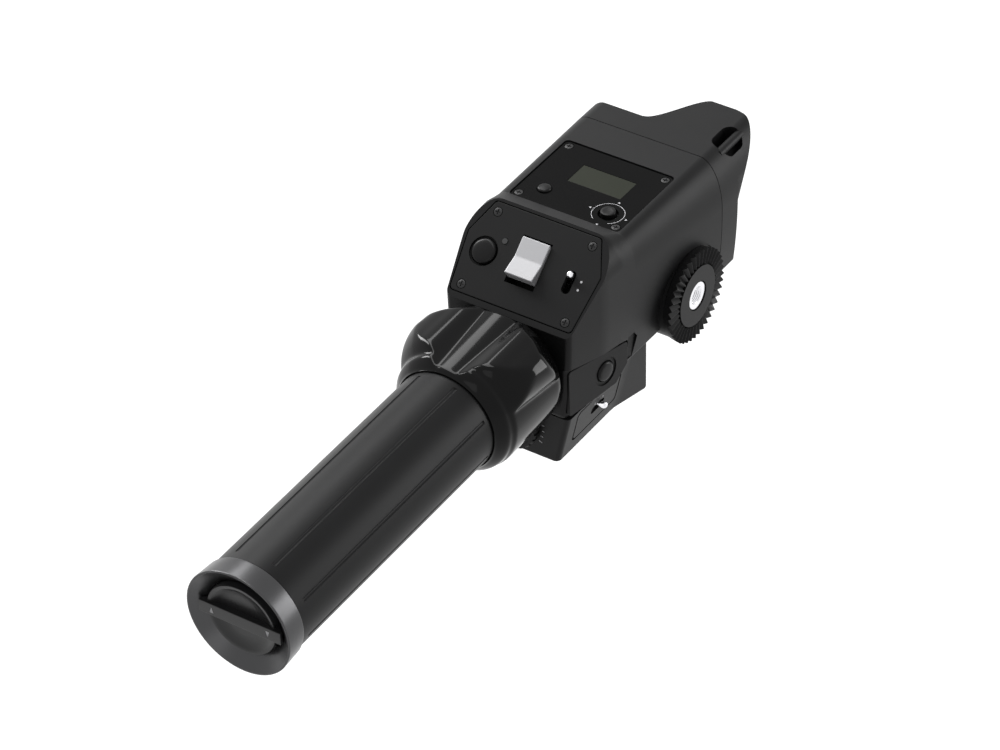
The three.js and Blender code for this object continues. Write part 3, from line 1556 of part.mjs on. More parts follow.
function lensSocket() {
  const stand = frame([socket.x, cap.frontY, socket.z], [0, 0, 0]);
  demand.add(stand);
  const inner = socket.radius - socket.wall;
  const flangeEnd = gap + socket.flangeThickness;
  const shell = turned([
    [inner, -socket.inside],
    [socket.radius, -socket.inside],
    [socket.radius, gap],
    [socket.flange, gap],
    [socket.flange, flangeEnd],
    [socket.radius, flangeEnd],
    [socket.radius, socket.out],
    [inner, socket.out],
    [inner, -socket.inside],
  ], steps);
  add(stand, "lens_socket_shell", "steel", shell);
  const pins = Array.from({ length: socket.pins }, (_, k) => {
    const angle = (k / socket.pins) * 2 * Math.PI;
    const hole = rod(socket.pinRadius, socket.insulatorFront - socket.pinDepth, socket.insulatorFront + overrun, smallSteps / 2);
    return shifted(hole, socket.pinCircle * Math.cos(angle), 0, socket.pinCircle * Math.sin(angle));
  });
  add(stand, "lens_socket_insulator", "plate", cut(rod(inner - gap, -socket.insulatorBack, socket.insulatorFront, steps), ...pins));
}

casing();
chassisPlates();
switchPanel();
displayPanel();
sideButtonParts();
rosetteParts();
lowerBlock();
speedDial();
gripParts();
twistRing();
driveParts();
lensSocket();

demand.position.set(-rosetteX, -rosette.y, -rosette.z);
const model = new THREE.Group();
model.add(demand);
export default model;
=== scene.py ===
import json
import math

import bmesh
import bpy
from mathutils import Matrix, Vector


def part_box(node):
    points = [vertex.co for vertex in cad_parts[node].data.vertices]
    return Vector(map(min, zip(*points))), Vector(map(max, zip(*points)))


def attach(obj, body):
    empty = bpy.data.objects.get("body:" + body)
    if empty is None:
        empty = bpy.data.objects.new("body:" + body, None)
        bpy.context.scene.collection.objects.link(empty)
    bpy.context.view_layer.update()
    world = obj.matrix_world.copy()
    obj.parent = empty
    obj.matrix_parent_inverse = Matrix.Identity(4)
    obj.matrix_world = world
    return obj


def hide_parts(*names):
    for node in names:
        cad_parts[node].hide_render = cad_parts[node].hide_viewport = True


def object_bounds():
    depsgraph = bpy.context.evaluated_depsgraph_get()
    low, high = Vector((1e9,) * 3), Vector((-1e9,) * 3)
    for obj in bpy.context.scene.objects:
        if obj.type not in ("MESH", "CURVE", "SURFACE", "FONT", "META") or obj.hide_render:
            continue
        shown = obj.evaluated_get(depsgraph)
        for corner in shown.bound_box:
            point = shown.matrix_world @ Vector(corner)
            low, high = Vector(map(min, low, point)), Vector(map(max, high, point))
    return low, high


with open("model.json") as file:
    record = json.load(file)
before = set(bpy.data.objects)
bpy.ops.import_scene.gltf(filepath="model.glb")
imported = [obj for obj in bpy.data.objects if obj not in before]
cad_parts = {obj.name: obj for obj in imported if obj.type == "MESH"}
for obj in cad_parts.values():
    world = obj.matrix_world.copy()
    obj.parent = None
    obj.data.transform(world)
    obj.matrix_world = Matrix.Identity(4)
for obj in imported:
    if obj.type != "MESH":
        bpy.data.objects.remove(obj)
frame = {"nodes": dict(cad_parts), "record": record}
cad_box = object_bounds()

MM = 0.001
TAU = math.tau
QUARTER = math.pi / 2

# Places are in millimetres from the display panel: x = 0 in its middle, y = 0 at its near edge, z = 0 on
# its face. The grip points to -y, and a frame's name says what it lies on
panel_low, panel_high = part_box("display_panel")
PANEL = Vector(((panel_low.x + panel_high.x) / 2, panel_low.y, panel_high.z))
REAR_Y, WAIST_Y, SEAM_Y = -38, -19.2, 55.1
SLOPE = math.radians(40.93)
SWITCH_TOP = Vector((0, -9.05, 2.76))
GRIP_AXIS_Z = -41.13
DROOP = math.radians(0.81)
ROSETTE = Vector((36.58655, 33.5, -44.7))

# Camera, solved from the photo's perspective
CAMERA_PLACE = Vector((669.9, -1008.2, 881.5))
CAMERA_RIGHT = Vector((0.8336, 0.5517, -0.0282))
CAMERA_DOWN = Vector((0.3235, -0.5289, -0.7846))
LENS = 149.46
SENSOR = 36


def from_display(turn=Matrix.Identity(4), place=Vector((0, 0, 0))):
    """The matrix that takes millimetres in a frame on the display panel to the row's metres."""
    return Matrix.Translation(PANEL) @ Matrix.Scale(MM, 4) @ Matrix.Translation(place) @ turn


ON_DISPLAY = from_display()
ON_SWITCHES = from_display(Matrix.Rotation(SLOPE, 4, "X"), SWITCH_TOP)
ON_GRIP = from_display(Matrix.Rotation(DROOP, 4, "X"), Vector((0, 0, GRIP_AXIS_Z)))
ALONG_X = Matrix.Rotation(QUARTER, 4, "Y")
ALONG_Y = Matrix.Rotation(-QUARTER, 4, "X")
ON_ROSETTE_OUT = from_display(ALONG_X, ROSETTE)
SIDE_CORNER = Vector((24.9, REAR_Y, -34.5))
SIDE_TURN = Matrix.Rotation(-math.atan2(4.7, 33), 4, "Z")
ON_SIDE = from_display(SIDE_TURN @ ALONG_X, SIDE_CORNER)
LOWER_TOGGLE = Vector((23.1875, -15, -69))
BLOCK_LEAN = math.atan2(6, 25.6)
ON_BLOCK = from_display(Matrix.Rotation(BLOCK_LEAN, 4, "Y") @ ALONG_X, LOWER_TOGGLE)


# Mesh tools
WELD = 0.0000002
CAD_WELD = 0.000001
FLAT_WITHIN = math.radians(0.6)


def deselect():
    bpy.ops.object.select_all(action="DESELECT")


def activate(piece):
    deselect()
    piece.select_set(True)
    bpy.context.view_layer.objects.active = piece


def new_piece(name, mesh):
    piece = bpy.data.objects.new(name, mesh)
    bpy.context.scene.collection.objects.link(piece)
    return piece


def mesh_piece(name, points, faces, matrix=ON_DISPLAY):
    mesh = bpy.data.meshes.new(name)
    mesh.from_pydata([matrix @ Vector(p) for p in points], [], faces)
    mesh.update()
    return new_piece(name, mesh)


def modify(piece, kind, **settings):
    """Adds a modifier with its settings and applies it."""
    activate(piece)
    modifier = piece.modifiers.new(kind.lower(), kind)
    for key, value in settings.items():
        setattr(modifier, key, value)
    bpy.ops.object.modifier_apply(modifier=modifier.name)
    return piece


def mesh_edit(piece, steps):
    """Runs edit-mode operators on the whole mesh."""
    activate(piece)
    bpy.ops.object.mode_set(mode="EDIT")
    bpy.ops.mesh.select_mode(type="VERT")
    bpy.ops.mesh.select_all(action="SELECT")
    steps()
    bpy.ops.object.mode_set(mode="OBJECT")
    return piece


def face_out(piece):
    return mesh_edit(piece, lambda: bpy.ops.mesh.normals_make_consistent(inside=False))


def cut(piece, cutter, operation="DIFFERENCE"):
    modify(piece, "BOOLEAN", object=cutter, operation=operation, solver="MANIFOLD")
    bpy.data.objects.remove(cutter)
    return piece


def merge(piece, other):
    return cut(piece, other, "UNION")


def rounded(piece, width, segments=2, angle=30):
    return modify(
        piece,
        "BEVEL",
        width=width * MM,
        segments=segments,
        limit_method="ANGLE",
        angle_limit=math.radians(angle),
        use_clamp_overlap=False,
    )


def smooth(piece, angle=35):
    activate(piece)
    bpy.ops.object.shade_smooth_by_angle(angle=math.radians(angle))
    return modify(piece, "WEIGHTED_NORMAL", keep_sharp=True)


def copy_of(node):
    """A clean copy of a CAD node: merged, with its flat faces whole again."""
    piece = new_piece(node + "_look", frame["nodes"][node].data.copy())

    def clean():
        bpy.ops.mesh.remove_doubles(threshold=CAD_WELD)
        bpy.ops.mesh.dissolve_limited(angle_limit=FLAT_WITHIN)

    return mesh_edit(piece, clean)


def stands_for(piece, node, material):
    """The piece takes a CAD node's place: its body and its finish."""
    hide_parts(node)
    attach(piece, BODY_OF[node])
    piece.data.materials.clear()
    piece.data.materials.append(material)
    return piece


BODY_OF = {}
for body, members in frame["record"]["behaviour"]["bodies"].items():
    for member in members:
        BODY_OF[member] = body
SLOT_OF = {row["node"]: row["material_slot"] for row in frame["record"]["subparts"]}


# Shader tools
class Value:
    """A shader socket that takes part in arithmetic, before or after a number."""

    def __init__(self, nodes, socket):
        self.nodes = nodes
        self.socket = socket

    def maths(self, operation, first, second):
        return self.nodes.node("ShaderNodeMath", {"operation": operation}, {0: first, 1: second})

    def __add__(self, other):
        return self.maths("ADD", self, other)

    def __radd__(self, other):
        return self.maths("ADD", other, self)

    def __mul__(self, other):
        return self.maths("MULTIPLY", self, other)

    def __rmul__(self, other):
        return self.maths("MULTIPLY", other, self)


class Nodes:
    """A tree of nodes, with the one method that adds a node to it."""

    def __init__(self, tree):
        self.tree = tree

    def node(self, kind, settings, inputs, output=0):
        made = self.tree.nodes.new(kind)
        for key, value in settings.items():
            setattr(made, key, value)
        for key, value in inputs.items():
            self.feed(made.inputs[key], value)
        return Value(self, made.outputs[output]) if made.outputs else None

    def feed(self, socket, value):
        if isinstance(value, Value):
            self.tree.links.new(value.socket, socket)
        else:
            socket.default_value = value


class Shade(Nodes):
    """A material with one Principled shader, and the nodes that feed it."""

    def __init__(self, name, colour, roughness, metallic=0.0, shine=0.5, **fixed):
        self.material = bpy.data.materials.new(name)
        self.material.use_nodes = True
        super().__init__(self.material.node_tree)
        self.shader = self.tree.nodes["Principled BSDF"]
        self.set("Base Color", (*colour, 1))
        self.set("Roughness", roughness)
        self.set("Metallic", metallic)
        self.set("Specular IOR Level", shine)
        for key, value in fixed.items():
            self.set(key.replace("_", " ").title(), value)

    def set(self, socket, value):
        self.feed(self.shader.inputs[socket], value)

    def noise(self, scale, detail, stretch=(1, 1, 1)):
        where = self.node("ShaderNodeTexCoord", {}, {}, output="Object")
        place = self.node("ShaderNodeMapping", {}, {"Vector": where, "Scale": stretch})
        return self.node("ShaderNodeTexNoise", {}, {"Vector": place, "Scale": scale, "Detail": detail})

    def mix(self, factor, first, second):
        inputs = {0: factor, 6: (*first, 1), 7: (*second, 1)}
        return self.node("ShaderNodeMix", {"data_type": "RGBA"}, inputs, output=2)

    def bump(self, height, strength, distance):
        inputs = {"Height": height, "Strength": strength, "Distance": distance * MM}
        self.set("Normal", self.node("ShaderNodeBump", {}, inputs))


def tint(colour):
    """A single level stands for a slightly cool grey."""
    return colour if isinstance(colour, tuple) else (colour, colour, colour * 1.03)


MOTTLE_SCALE, MOTTLE_DETAIL = 45, 3.0
GRAIN_DETAIL, GRAIN_STRENGTH = 2.0, 0.5
FINE_SHARE, MEAN_SHARE = 0.5, 0.75


def finish(name, dark, light, roughness, spread, grain, depth, metallic=0.0, stretch=(1, 1, 1), **fixed):
    """A finish with broad mottling in colour and roughness, and a fine grain in relief."""
    dark, light = tint(dark), tint(light)
    shade = Shade(name, dark, roughness, metallic, **fixed)
    mottle = shade.noise(MOTTLE_SCALE, MOTTLE_DETAIL)
    shade.set("Base Color", shade.mix(mottle, dark, light))
    fine = shade.noise(grain, GRAIN_DETAIL, stretch)
    lowest = roughness - spread * MEAN_SHARE
    shade.set("Roughness", mottle * spread + (fine * (spread * FINE_SHARE) + lowest))
    shade.bump(fine, GRAIN_STRENGTH, depth)
    return shade.material


# Each finish has its dark and light colour, its roughness and how far that spreads, its grain and the
# grain's depth, and where it needs them how metallic it is and how its grain is drawn out
PAINT = finish("black_paint", 0.009, 0.012, 0.44, 0.08, 2600, 0.02, shine=0.13)
PLATE = finish("matte_plate", 0.0075, 0.0095, 0.54, 0.08, 3400, 0.015, shine=0.15)
LACQUER = {"shine": 0.12, "coat_weight": 0.03, "coat_roughness": 0.04}
GLOSS = finish("black_gloss", 0.003, 0.004, 0.1, 0.03, 900, 0.002, **LACQUER)
KEYS = finish("black_key", 0.006, 0.008, 0.34, 0.04, 1800, 0.004, shine=0.15)
GLASSY = finish("display_gloss", 0.003, 0.004, 0.14, 0.03, 700, 0.001, shine=0.05)
SLEEVE = finish("satin_sleeve", 0.009, 0.012, 0.4, 0.06, 3000, 0.012, shine=0.12)
DARK_METAL = finish("dark_metal", 0.055, 0.07, 0.3, 0.06, 1500, 0.004, 0.85)
KNOB = finish("knob_coat", 0.018, 0.024, 0.3, 0.05, 1500, 0.004, shine=0.35)
CHROME = finish("bright_chrome", 0.78, 0.84, 0.12, 0.05, 900, 0.002, 1.0)
STEEL = finish("turned_steel", 0.4, 0.5, 0.32, 0.08, 1800, 0.006, 1.0, (1, 20, 1))
BLACK_STEEL = finish("blackened_steel", 0.012, 0.018, 0.42, 0.08, 1500, 0.006, 0.4)
ALLOY = finish("machined_alloy", 0.5, 0.58, 0.38, 0.1, 1400, 0.008, 1.0, (1, 14, 1))
BRONZE = finish("bush_bronze", (0.46, 0.27, 0.11), (0.55, 0.34, 0.15), 0.38, 0.1, 1500, 0.008, 1.0)
WHITE = finish("white_plastic", 0.58, 0.62, 0.35, 0.06, 2600, 0.006)
BOARD = finish("green_board", (0.012, 0.09, 0.035), (0.02, 0.12, 0.05), 0.4, 0.08, 1600, 0.006)
NYLON = finish("nylon", (0.66, 0.62, 0.53), (0.7, 0.66, 0.57), 0.45, 0.06, 1800, 0.008)
FRICTION = finish("friction_lining", (0.13, 0.09, 0.06), (0.18, 0.13, 0.09), 0.9, 0.08, 1200, 0.05)
LAMP = finish("lamp_lens", 0.035, 0.045, 0.2, 0.04, 800, 0.002)
INK = finish("white_print", 0.6, 0.66, 0.5, 0.05, 2200, 0.004)
OLIVE = (0.024, 0.027, 0.019), (0.028, 0.031, 0.022)
SCREEN = finish("display_screen", *OLIVE, 0.22, 0.04, 500, 0.001, shine=0.1)

FINISH_OF = {
    "shell": PAINT,
    "plate": PLATE,
    "gloss": GLOSS,
    "glass": SCREEN,
    "sleeve": SLEEVE,
    "dark_metal": DARK_METAL,
    "bright": CHROME,
    "steel": STEEL,
    "alloy": ALLOY,
    "bronze": BRONZE,
    "black_steel": BLACK_STEEL,
    "white": WHITE,
    "board": BOARD,
    "nylon": NYLON,
    "friction": FRICTION,
    "lamp": LAMP,
}

# Every CAD node gets its finish; new pieces then stand for the outer ones
for node, thing in frame["nodes"].items():
    thing.data.materials.clear()
    thing.data.materials.append(FINISH_OF[SLOT_OF[node]])

# Sizes that several pieces share, in millimetres
GAP = 0.3
BODY_WALL = 2.4


# Arithmetic of shapes
def lerp(low, high, share):
    return low + (high - low) * share


def ramp(value, low, high):
    return min(max((value - low) / (high - low), 0.0), 1.0)


def ease(share):
    return share * share * (3 - 2 * share)


def quarter(steps, first=0):
    """The sine and cosine of each step of a quarter turn, from the first one asked for."""
    turns = [QUARTER * k / steps for k in range(first, steps + 1)]
    return [(math.sin(turn), math.cos(turn)) for turn in turns]


def along(table, place):
    """Reads a value from a table of places and values, straight between them and level past its ends."""
    for (low, first), (high, last) in zip(table, table[1:]):
        if place <= high:
            return lerp(first, last, ramp(place, low, high))
    return table[-1][1]


# Solids from outlines and rings. The body, the block and the twist ring change section along their
# length, which edits of a primitive can't follow, so these are made straight from their points
def plane_at(matrix, height):
    """A point and the normal of the plane that lies at a height in a frame."""
    return matrix @ Vector((0, 0, height)), (matrix.to_3x3() @ Vector((0, 0, 1))).normalized()


def loft(name, rings, matrix=ON_DISPLAY):
    """A closed skin over rings of points, with a flat face at each end."""
    count = len(rings[0])
    points = [p for ring in rings for p in ring]
    faces = [tuple(reversed(range(count))), tuple(range(len(points) - count, len(points)))]
    for r in range(len(rings) - 1):
        for k in range(count):
            here = r * count + k
            beside = r * count + (k + 1) % count
            faces.append((here, beside, beside + count, here + count))
    return face_out(mesh_piece(name, points, faces, matrix))


def draw(name, points, matrix=ON_DISPLAY, closed=True):
    """A line of edges pulled out of a single vertex, point by point."""
    deselect()
    bpy.ops.mesh.primitive_plane_add(size=MM, location=matrix @ Vector(points[0]))
    piece = bpy.context.object
    piece.name = piece.data.name = name
    bpy.ops.object.transform_apply(location=True)
    turn = matrix.to_3x3()
    stops = points + points[:1] if closed else points

    def steps():
        bpy.ops.mesh.merge(type="CENTER")
        for last, point in zip(stops, stops[1:]):
            step = turn @ (Vector(point) - Vector(last))
            bpy.ops.mesh.extrude_region_move(TRANSFORM_OT_translate={"value": step})
        bpy.ops.mesh.select_all(action="SELECT")
        bpy.ops.mesh.remove_doubles(threshold=WELD)

    return mesh_edit(piece, steps)


def prism(name, outline, low, high, matrix=ON_DISPLAY):
    """An outline raised from one height to another."""
    piece = draw(name, [(x, y, low) for x, y in outline], matrix)
    rise = matrix.to_3x3() @ Vector((0, 0, high - low))

    def steps():
        bpy.ops.mesh.edge_face_add()
        bpy.ops.mesh.extrude_region_move(TRANSFORM_OT_translate={"value": rise})
        bpy.ops.mesh.select_all(action="SELECT")
        bpy.ops.mesh.normals_make_consistent(inside=False)

    return mesh_edit(piece, steps)


def block(name, low, high, matrix=ON_DISPLAY):
    """A box between two corners."""
    return prism(name, rectangle(low[0], low[1], high[0], high[1]), low[2], high[2], matrix)


def lathe(name, profile, matrix=ON_DISPLAY, sides=96, closed=False):
    """A solid spun about the frame's z axis from radii and heights. A closed profile leaves a bore."""
    piece = draw(name, [(radius, 0, height) for radius, height in profile], matrix, closed)
    middle, axis = plane_at(matrix, 0)

    def steps():
        bpy.ops.mesh.spin(steps=sides, angle=TAU, center=middle, axis=axis, use_auto_merge=True)
        bpy.ops.mesh.select_all(action="SELECT")
        bpy.ops.mesh.remove_doubles(threshold=WELD)
        bpy.ops.mesh.normals_make_consistent(inside=False)

    return mesh_edit(piece, steps)


def rod(name, radius, low, high, matrix=ON_DISPLAY, sides=48):
    """A cylinder that is added lying at the origin and then moved to its place in the frame."""
    deselect()
    bpy.ops.mesh.primitive_cylinder_add(vertices=sides, radius=radius * MM, depth=(high - low) * MM)
    piece = bpy.context.object
    piece.name = piece.data.name = name
    middle = matrix @ Vector((0, 0, (low + high) / 2))
    piece.matrix_world = Matrix.Translation(middle) @ matrix.to_quaternion().to_matrix().to_4x4()
    bpy.ops.object.transform_apply()
    return piece


def at(matrix, x=0, y=0, z=0):
    return matrix @ Matrix.Translation((x, y, z))


def rectangle(left, low, right, high):
    return [(left, low), (right, low), (right, high), (left, high)]


def round_corners(outline, radius, steps=8):
    """The outline with each corner turned into an arc."""
    made = []
    for i, point in enumerate(outline):
        here = Vector(point)
        before = (Vector(outline[i - 1]) - here).normalized()
        after = (Vector(outline[(i + 1) % len(outline)]) - here).normalized()
        half = math.acos(max(-1, min(1, before.dot(after)))) / 2
        middle = here + (before + after).normalized() * (radius / math.sin(half))
        start = here + before * (radius / math.tan(half)) - middle
        end = here + after * (radius / math.tan(half)) - middle
        turn = math.atan2(start.x * end.y - start.y * end.x, start.dot(end))
        for k in range(steps + 1):
            spot = Matrix.Rotation(turn * k / steps, 2) @ start + middle
            made.append((spot.x, spot.y))
    return made


def join(piece, *others):
    """Adds the others' meshes to the piece's own, keeping their materials."""
    activate(piece)
    for other in others:
        other.select_set(True)
    bpy.ops.object.join()
    return piece


def trim(piece, matrix, height):
    """Cuts away all that stands above a height in a frame, and closes the cut with a flat face."""
    place, normal = plane_at(matrix, height)
    settings = {"use_fill": True, "clear_outer": True, "threshold": WELD / 2}

    def steps():
        bpy.ops.mesh.bisect(plane_co=place, plane_no=normal, **settings)

    return mesh_edit(piece, steps)


def edit_chosen(piece, kind, choose, operate):
    """Runs an operator in edit mode on the edges or vertices that a function picks."""
    activate(piece)
    bpy.ops.object.mode_set(mode="EDIT")
    bpy.ops.mesh.select_all(action="DESELECT")
    bpy.ops.mesh.select_mode(type=kind)
    form = bmesh.from_edit_mesh(piece.data)
    for element in choose(form):
        element.select_set(True)
    bmesh.update_edit_mesh(piece.data)
    operate()
    bpy.ops.object.mode_set(mode="OBJECT")
    return piece


def soften_face_rim(piece, matrix, height, width, segments=3):
    """Bevels the rim of the flat face that lies at a height in a frame."""
    place, normal = plane_at(matrix, height)

    def lies(face):
        off = (face.calc_center_median() - place).dot(normal)
        return abs(face.normal.dot(normal)) > 0.9999 and abs(off) < 0.00001

    def rim(form):
        flat = {face.index for face in form.faces if lies(face)}
        return [e for e in form.edges if sum(face.index in flat for face in e.link_faces) == 1]

    def bevel():
        bpy.ops.mesh.bevel(offset=width * MM, segments=segments, clamp_overlap=True)

    return edit_chosen(piece, "EDGE", rim, bevel)


# The body's section. The deck carries the display, and the crest stands between it and the slope
DECK_TOP, CREST_TOP = 0.4, 3.7
DECK_FLAT_HALF, CREST_FLAT_HALF = 24, 20
DECK_DROP_NEAR, DECK_DROP_FAR, CREST_DROP = 14, 20.5, 12
CREST_Y = -7.95
REAR_HALF, WAIST_HALF, SEAM_HALF = 26.4, 29.97, 33.8
FACET_REAR_HALF, FACET_FRONT_HALF, FACET_FRONT_Y = 24.9, 29.6, -5
FACET_END_Y, FACET_EASE = -0.5, 2.5
CREASE_REAR, CREASE_FRONT, CREASE_HALF = -37.2, -42.5, 0.35
TUCK_FROM, TUCK_IN, TUCK_OVER = -20.5, 1.8, 30
FOOT_ROUND = 1.2
BODY_FOOT, CAP_FOOT = -61.6, -51.4
FOOT_LINE = [(REAR_Y, -60.2), (-9, BODY_FOOT), (-2.2, -54.8), (SEAM_Y, CAP_FOOT)]
KNOTS = [-28.6, WAIST_Y, -9, CREST_Y, -5, -2.2, FACET_END_Y, 0, FACET_END_Y + FACET_EASE, 18, 37]
FINE_KNOTS = [-34, -31, -25, -22, -16, -12.5, -6.5, -3.6, 6, 12, 24, 30, 43, 49]


def half_width(y):
    if y < WAIST_Y:
        return lerp(REAR_HALF, WAIST_HALF, (y - REAR_Y) / (WAIST_Y - REAR_Y))
    return lerp(WAIST_HALF, SEAM_HALF, (y - WAIST_Y) / (SEAM_Y - WAIST_Y))


def wall_x(wide, z):
    """The wall's distance from the middle: it curves in towards the foot."""
    return wide - TUCK_IN * (max(TUCK_FROM - z, 0) / TUCK_OVER) ** 2


def low_wall_x(y, z, inset):
    """The same below the crease, where a facet is cut off the wall's rear end."""
    plain = wall_x(half_width(y) - inset, z)
    share = (y - REAR_Y) / (FACET_FRONT_Y - REAR_Y)
    facet = lerp(FACET_REAR_HALF, FACET_FRONT_HALF, share) - inset
    return lerp(min(plain, facet), plain, ramp(y, FACET_END_Y, FACET_END_Y + FACET_EASE))


def section(y, inset=0.0, at_y=None, fine=True):
    """The body's outline at a place along it: points from the middle of the top round to it again."""
    crest = 1 - ramp(y, CREST_Y, 0)
    top = lerp(DECK_TOP, CREST_TOP, crest) - inset
    wide = half_width(y) - inset
    flat = lerp(DECK_FLAT_HALF, CREST_FLAT_HALF, crest) - inset / 2
    drop = lerp(lerp(DECK_DROP_NEAR, DECK_DROP_FAR, ramp(y, 0, SEAM_Y)), CREST_DROP, crest)
    foot = along(FOOT_LINE, y) + inset
    low = foot + FOOT_ROUND
    half = [(0, top), (flat / 2, top), (flat, top)]
    for sine, cosine in quarter(20 if fine else 6, 1):
        half.append((flat + (wide - flat) * sine, top - drop * (1 - cosine)))
    crease = lerp(CREASE_REAR, CREASE_FRONT, ramp(y, REAR_Y, FACET_FRONT_Y))
    over, under = crease + CREASE_HALF, crease - CREASE_HALF
    wall_steps = 6 if fine else 2
    for k in range(1, wall_steps + 1):
        z = lerp(top - drop, over, k / wall_steps)
        half.append((wall_x(wide, z), z))
    for k in range(wall_steps + 1):
        z = lerp(under, low, k / wall_steps)
        half.append((low_wall_x(y, z, inset), z))
    corner = low_wall_x(y, low, inset) - FOOT_ROUND
    for sine, cosine in quarter(4, 1):
        half.append((corner + FOOT_ROUND * cosine, low - FOOT_ROUND * sine))
    half.append((0, foot))
    mirrored = [(-x, z) for x, z in reversed(half[1:-1])]
    place = y if at_y is None else at_y
    return [(x, place, z) for x, z in half + mirrored]


def body_form(name, first, last, inset=0.0, edge=0.0, fine=True):
    """The body's solid between two places, with its rear edge rounded if asked."""
    rings = []
    for sine, cosine in quarter(6) if edge else []:
        place = first + edge * (1 - cosine)
        rings.append(section(place, inset + edge * (1 - sine), place, fine))
    knots = KNOTS + FINE_KNOTS if fine else KNOTS
    start = first + edge
    stops = ([] if edge else [start]) + sorted(y for y in knots if start < y < last) + [last]
    return loft(name, rings + [section(y, inset, y, fine) for y in stops])


# Panels, controls and screws
SWITCH_SPAN, SWITCH_THICK = 35.73, 2
DISPLAY_HALF, DISPLAY_SPAN, DISPLAY_THICK = 23.32, 39.07, 1.6
SIDE_THICK = 0.9
PANEL_SEAT = -SWITCH_THICK - GAP
PANEL_UNDER = PANEL_SEAT - 1.6
DISPLAY_SEAT = -DISPLAY_THICK - GAP
DISPLAY_UNDER = DISPLAY_SEAT - 1.5
WINDOW_LOW, WINDOW_HIGH = (-9.7, 17.85), (13.16, 29.32)
SWITCH_SCREWS = [(-20.2, -3.7), (20.2, -3.7), (-22.2, -32.8), (22.2, -32.8)]
DISPLAY_SCREWS = [(-20.8, 2.7), (20.8, 2.7), (-20.8, 36.5), (20.8, 36.5)]
SCREW_HEAD, SCREW_SHANK, SCREW_LONG = 1.6, 0.85, 5
BOSS, BOSS_FOOT = 2.4, -6.3
FUNCTION_BUTTON = (-19.2, -18.8)
ROCKER = (-0.6, -17.3)
EXTENDER = (17.2, -18.7)
LAMP_PLACE = (-12.8, -12.8)
DISPLAY_BUTTON = (-13.9, 9.2)
STICK = (14.1, 8.2)
SIDE_BUTTON = (15.2, 21.4)
SIDE_BORE = 4.4
ROSETTE_BACK, SPIGOT_LONG = -3.6, 3.9
DIAL_AXIS = at(ON_DISPLAY, 0, 0, -68.5) @ ALONG_Y
SHAFT_BORE = 3.3
MARK_HIGH = 0.04


def switch_outline(grow):
    corners = [(-22.27 - grow, grow), (-28.2 - grow, -13.39), (-25.88 - grow, -SWITCH_SPAN - grow)]
    return round_corners(corners + [(-x, y) for x, y in reversed(corners)], 1.6)


def display_outline(sides, ends):
    wide = DISPLAY_HALF + sides
    return round_corners(rectangle(-wide, -ends, wide, DISPLAY_SPAN + ends), 2)


def side_outline(grow, lower_grow=0.0):
    """The side plate's outline, grown all round, and more along its lower and front edges if asked."""
    wide = max(grow, lower_grow)
    corners = [
        (3.7 - grow, 1.2 - grow),
        (24 + wide, 1.2 - grow),
        (24 + wide, 27 + wide / 2),
        (18.3 + wide / 2, 33.6 + wide),
        (8.6 - grow, 33.6 + wide),
    ]
    return round_corners(corners, 1.4)


def window(grow, low, high):
    (left, near), (right, far) = WINDOW_LOW, WINDOW_HIGH
    outline = rectangle(left - grow, near - grow, right + grow, far + grow)
    return prism("window_cutter", outline, low, high)


def screw_hole(matrix, x, y):
    wide, shank, bottom = SCREW_HEAD + GAP, SCREW_SHANK + GAP, -SCREW_LONG - GAP
    profile = [(0, bottom), (shank, bottom), (shank, -1 - GAP), (wide, 0), (wide, 1), (0, 1)]
    return lathe("screw_hole", profile, at(matrix, x, y), 24)


def toggle_slot(matrix, low=-20, high=20):
    outline = round_corners(rectangle(-1.8, -4.4, 1.8, 4.4), 1.6)
    return prism("toggle_slot", outline, low, high, matrix)


def screw_holes(matrix, spots):
    return [screw_hole(matrix, x, y) for x, y in spots]


def cut_all(piece, cutters):
    for cutter in cutters:
        cut(piece, cutter)
    return piece


# The outer pieces. CLEAR and THROUGH are how far a cutter reaches past what it cuts
CLEAR, THROUGH = 1, 5


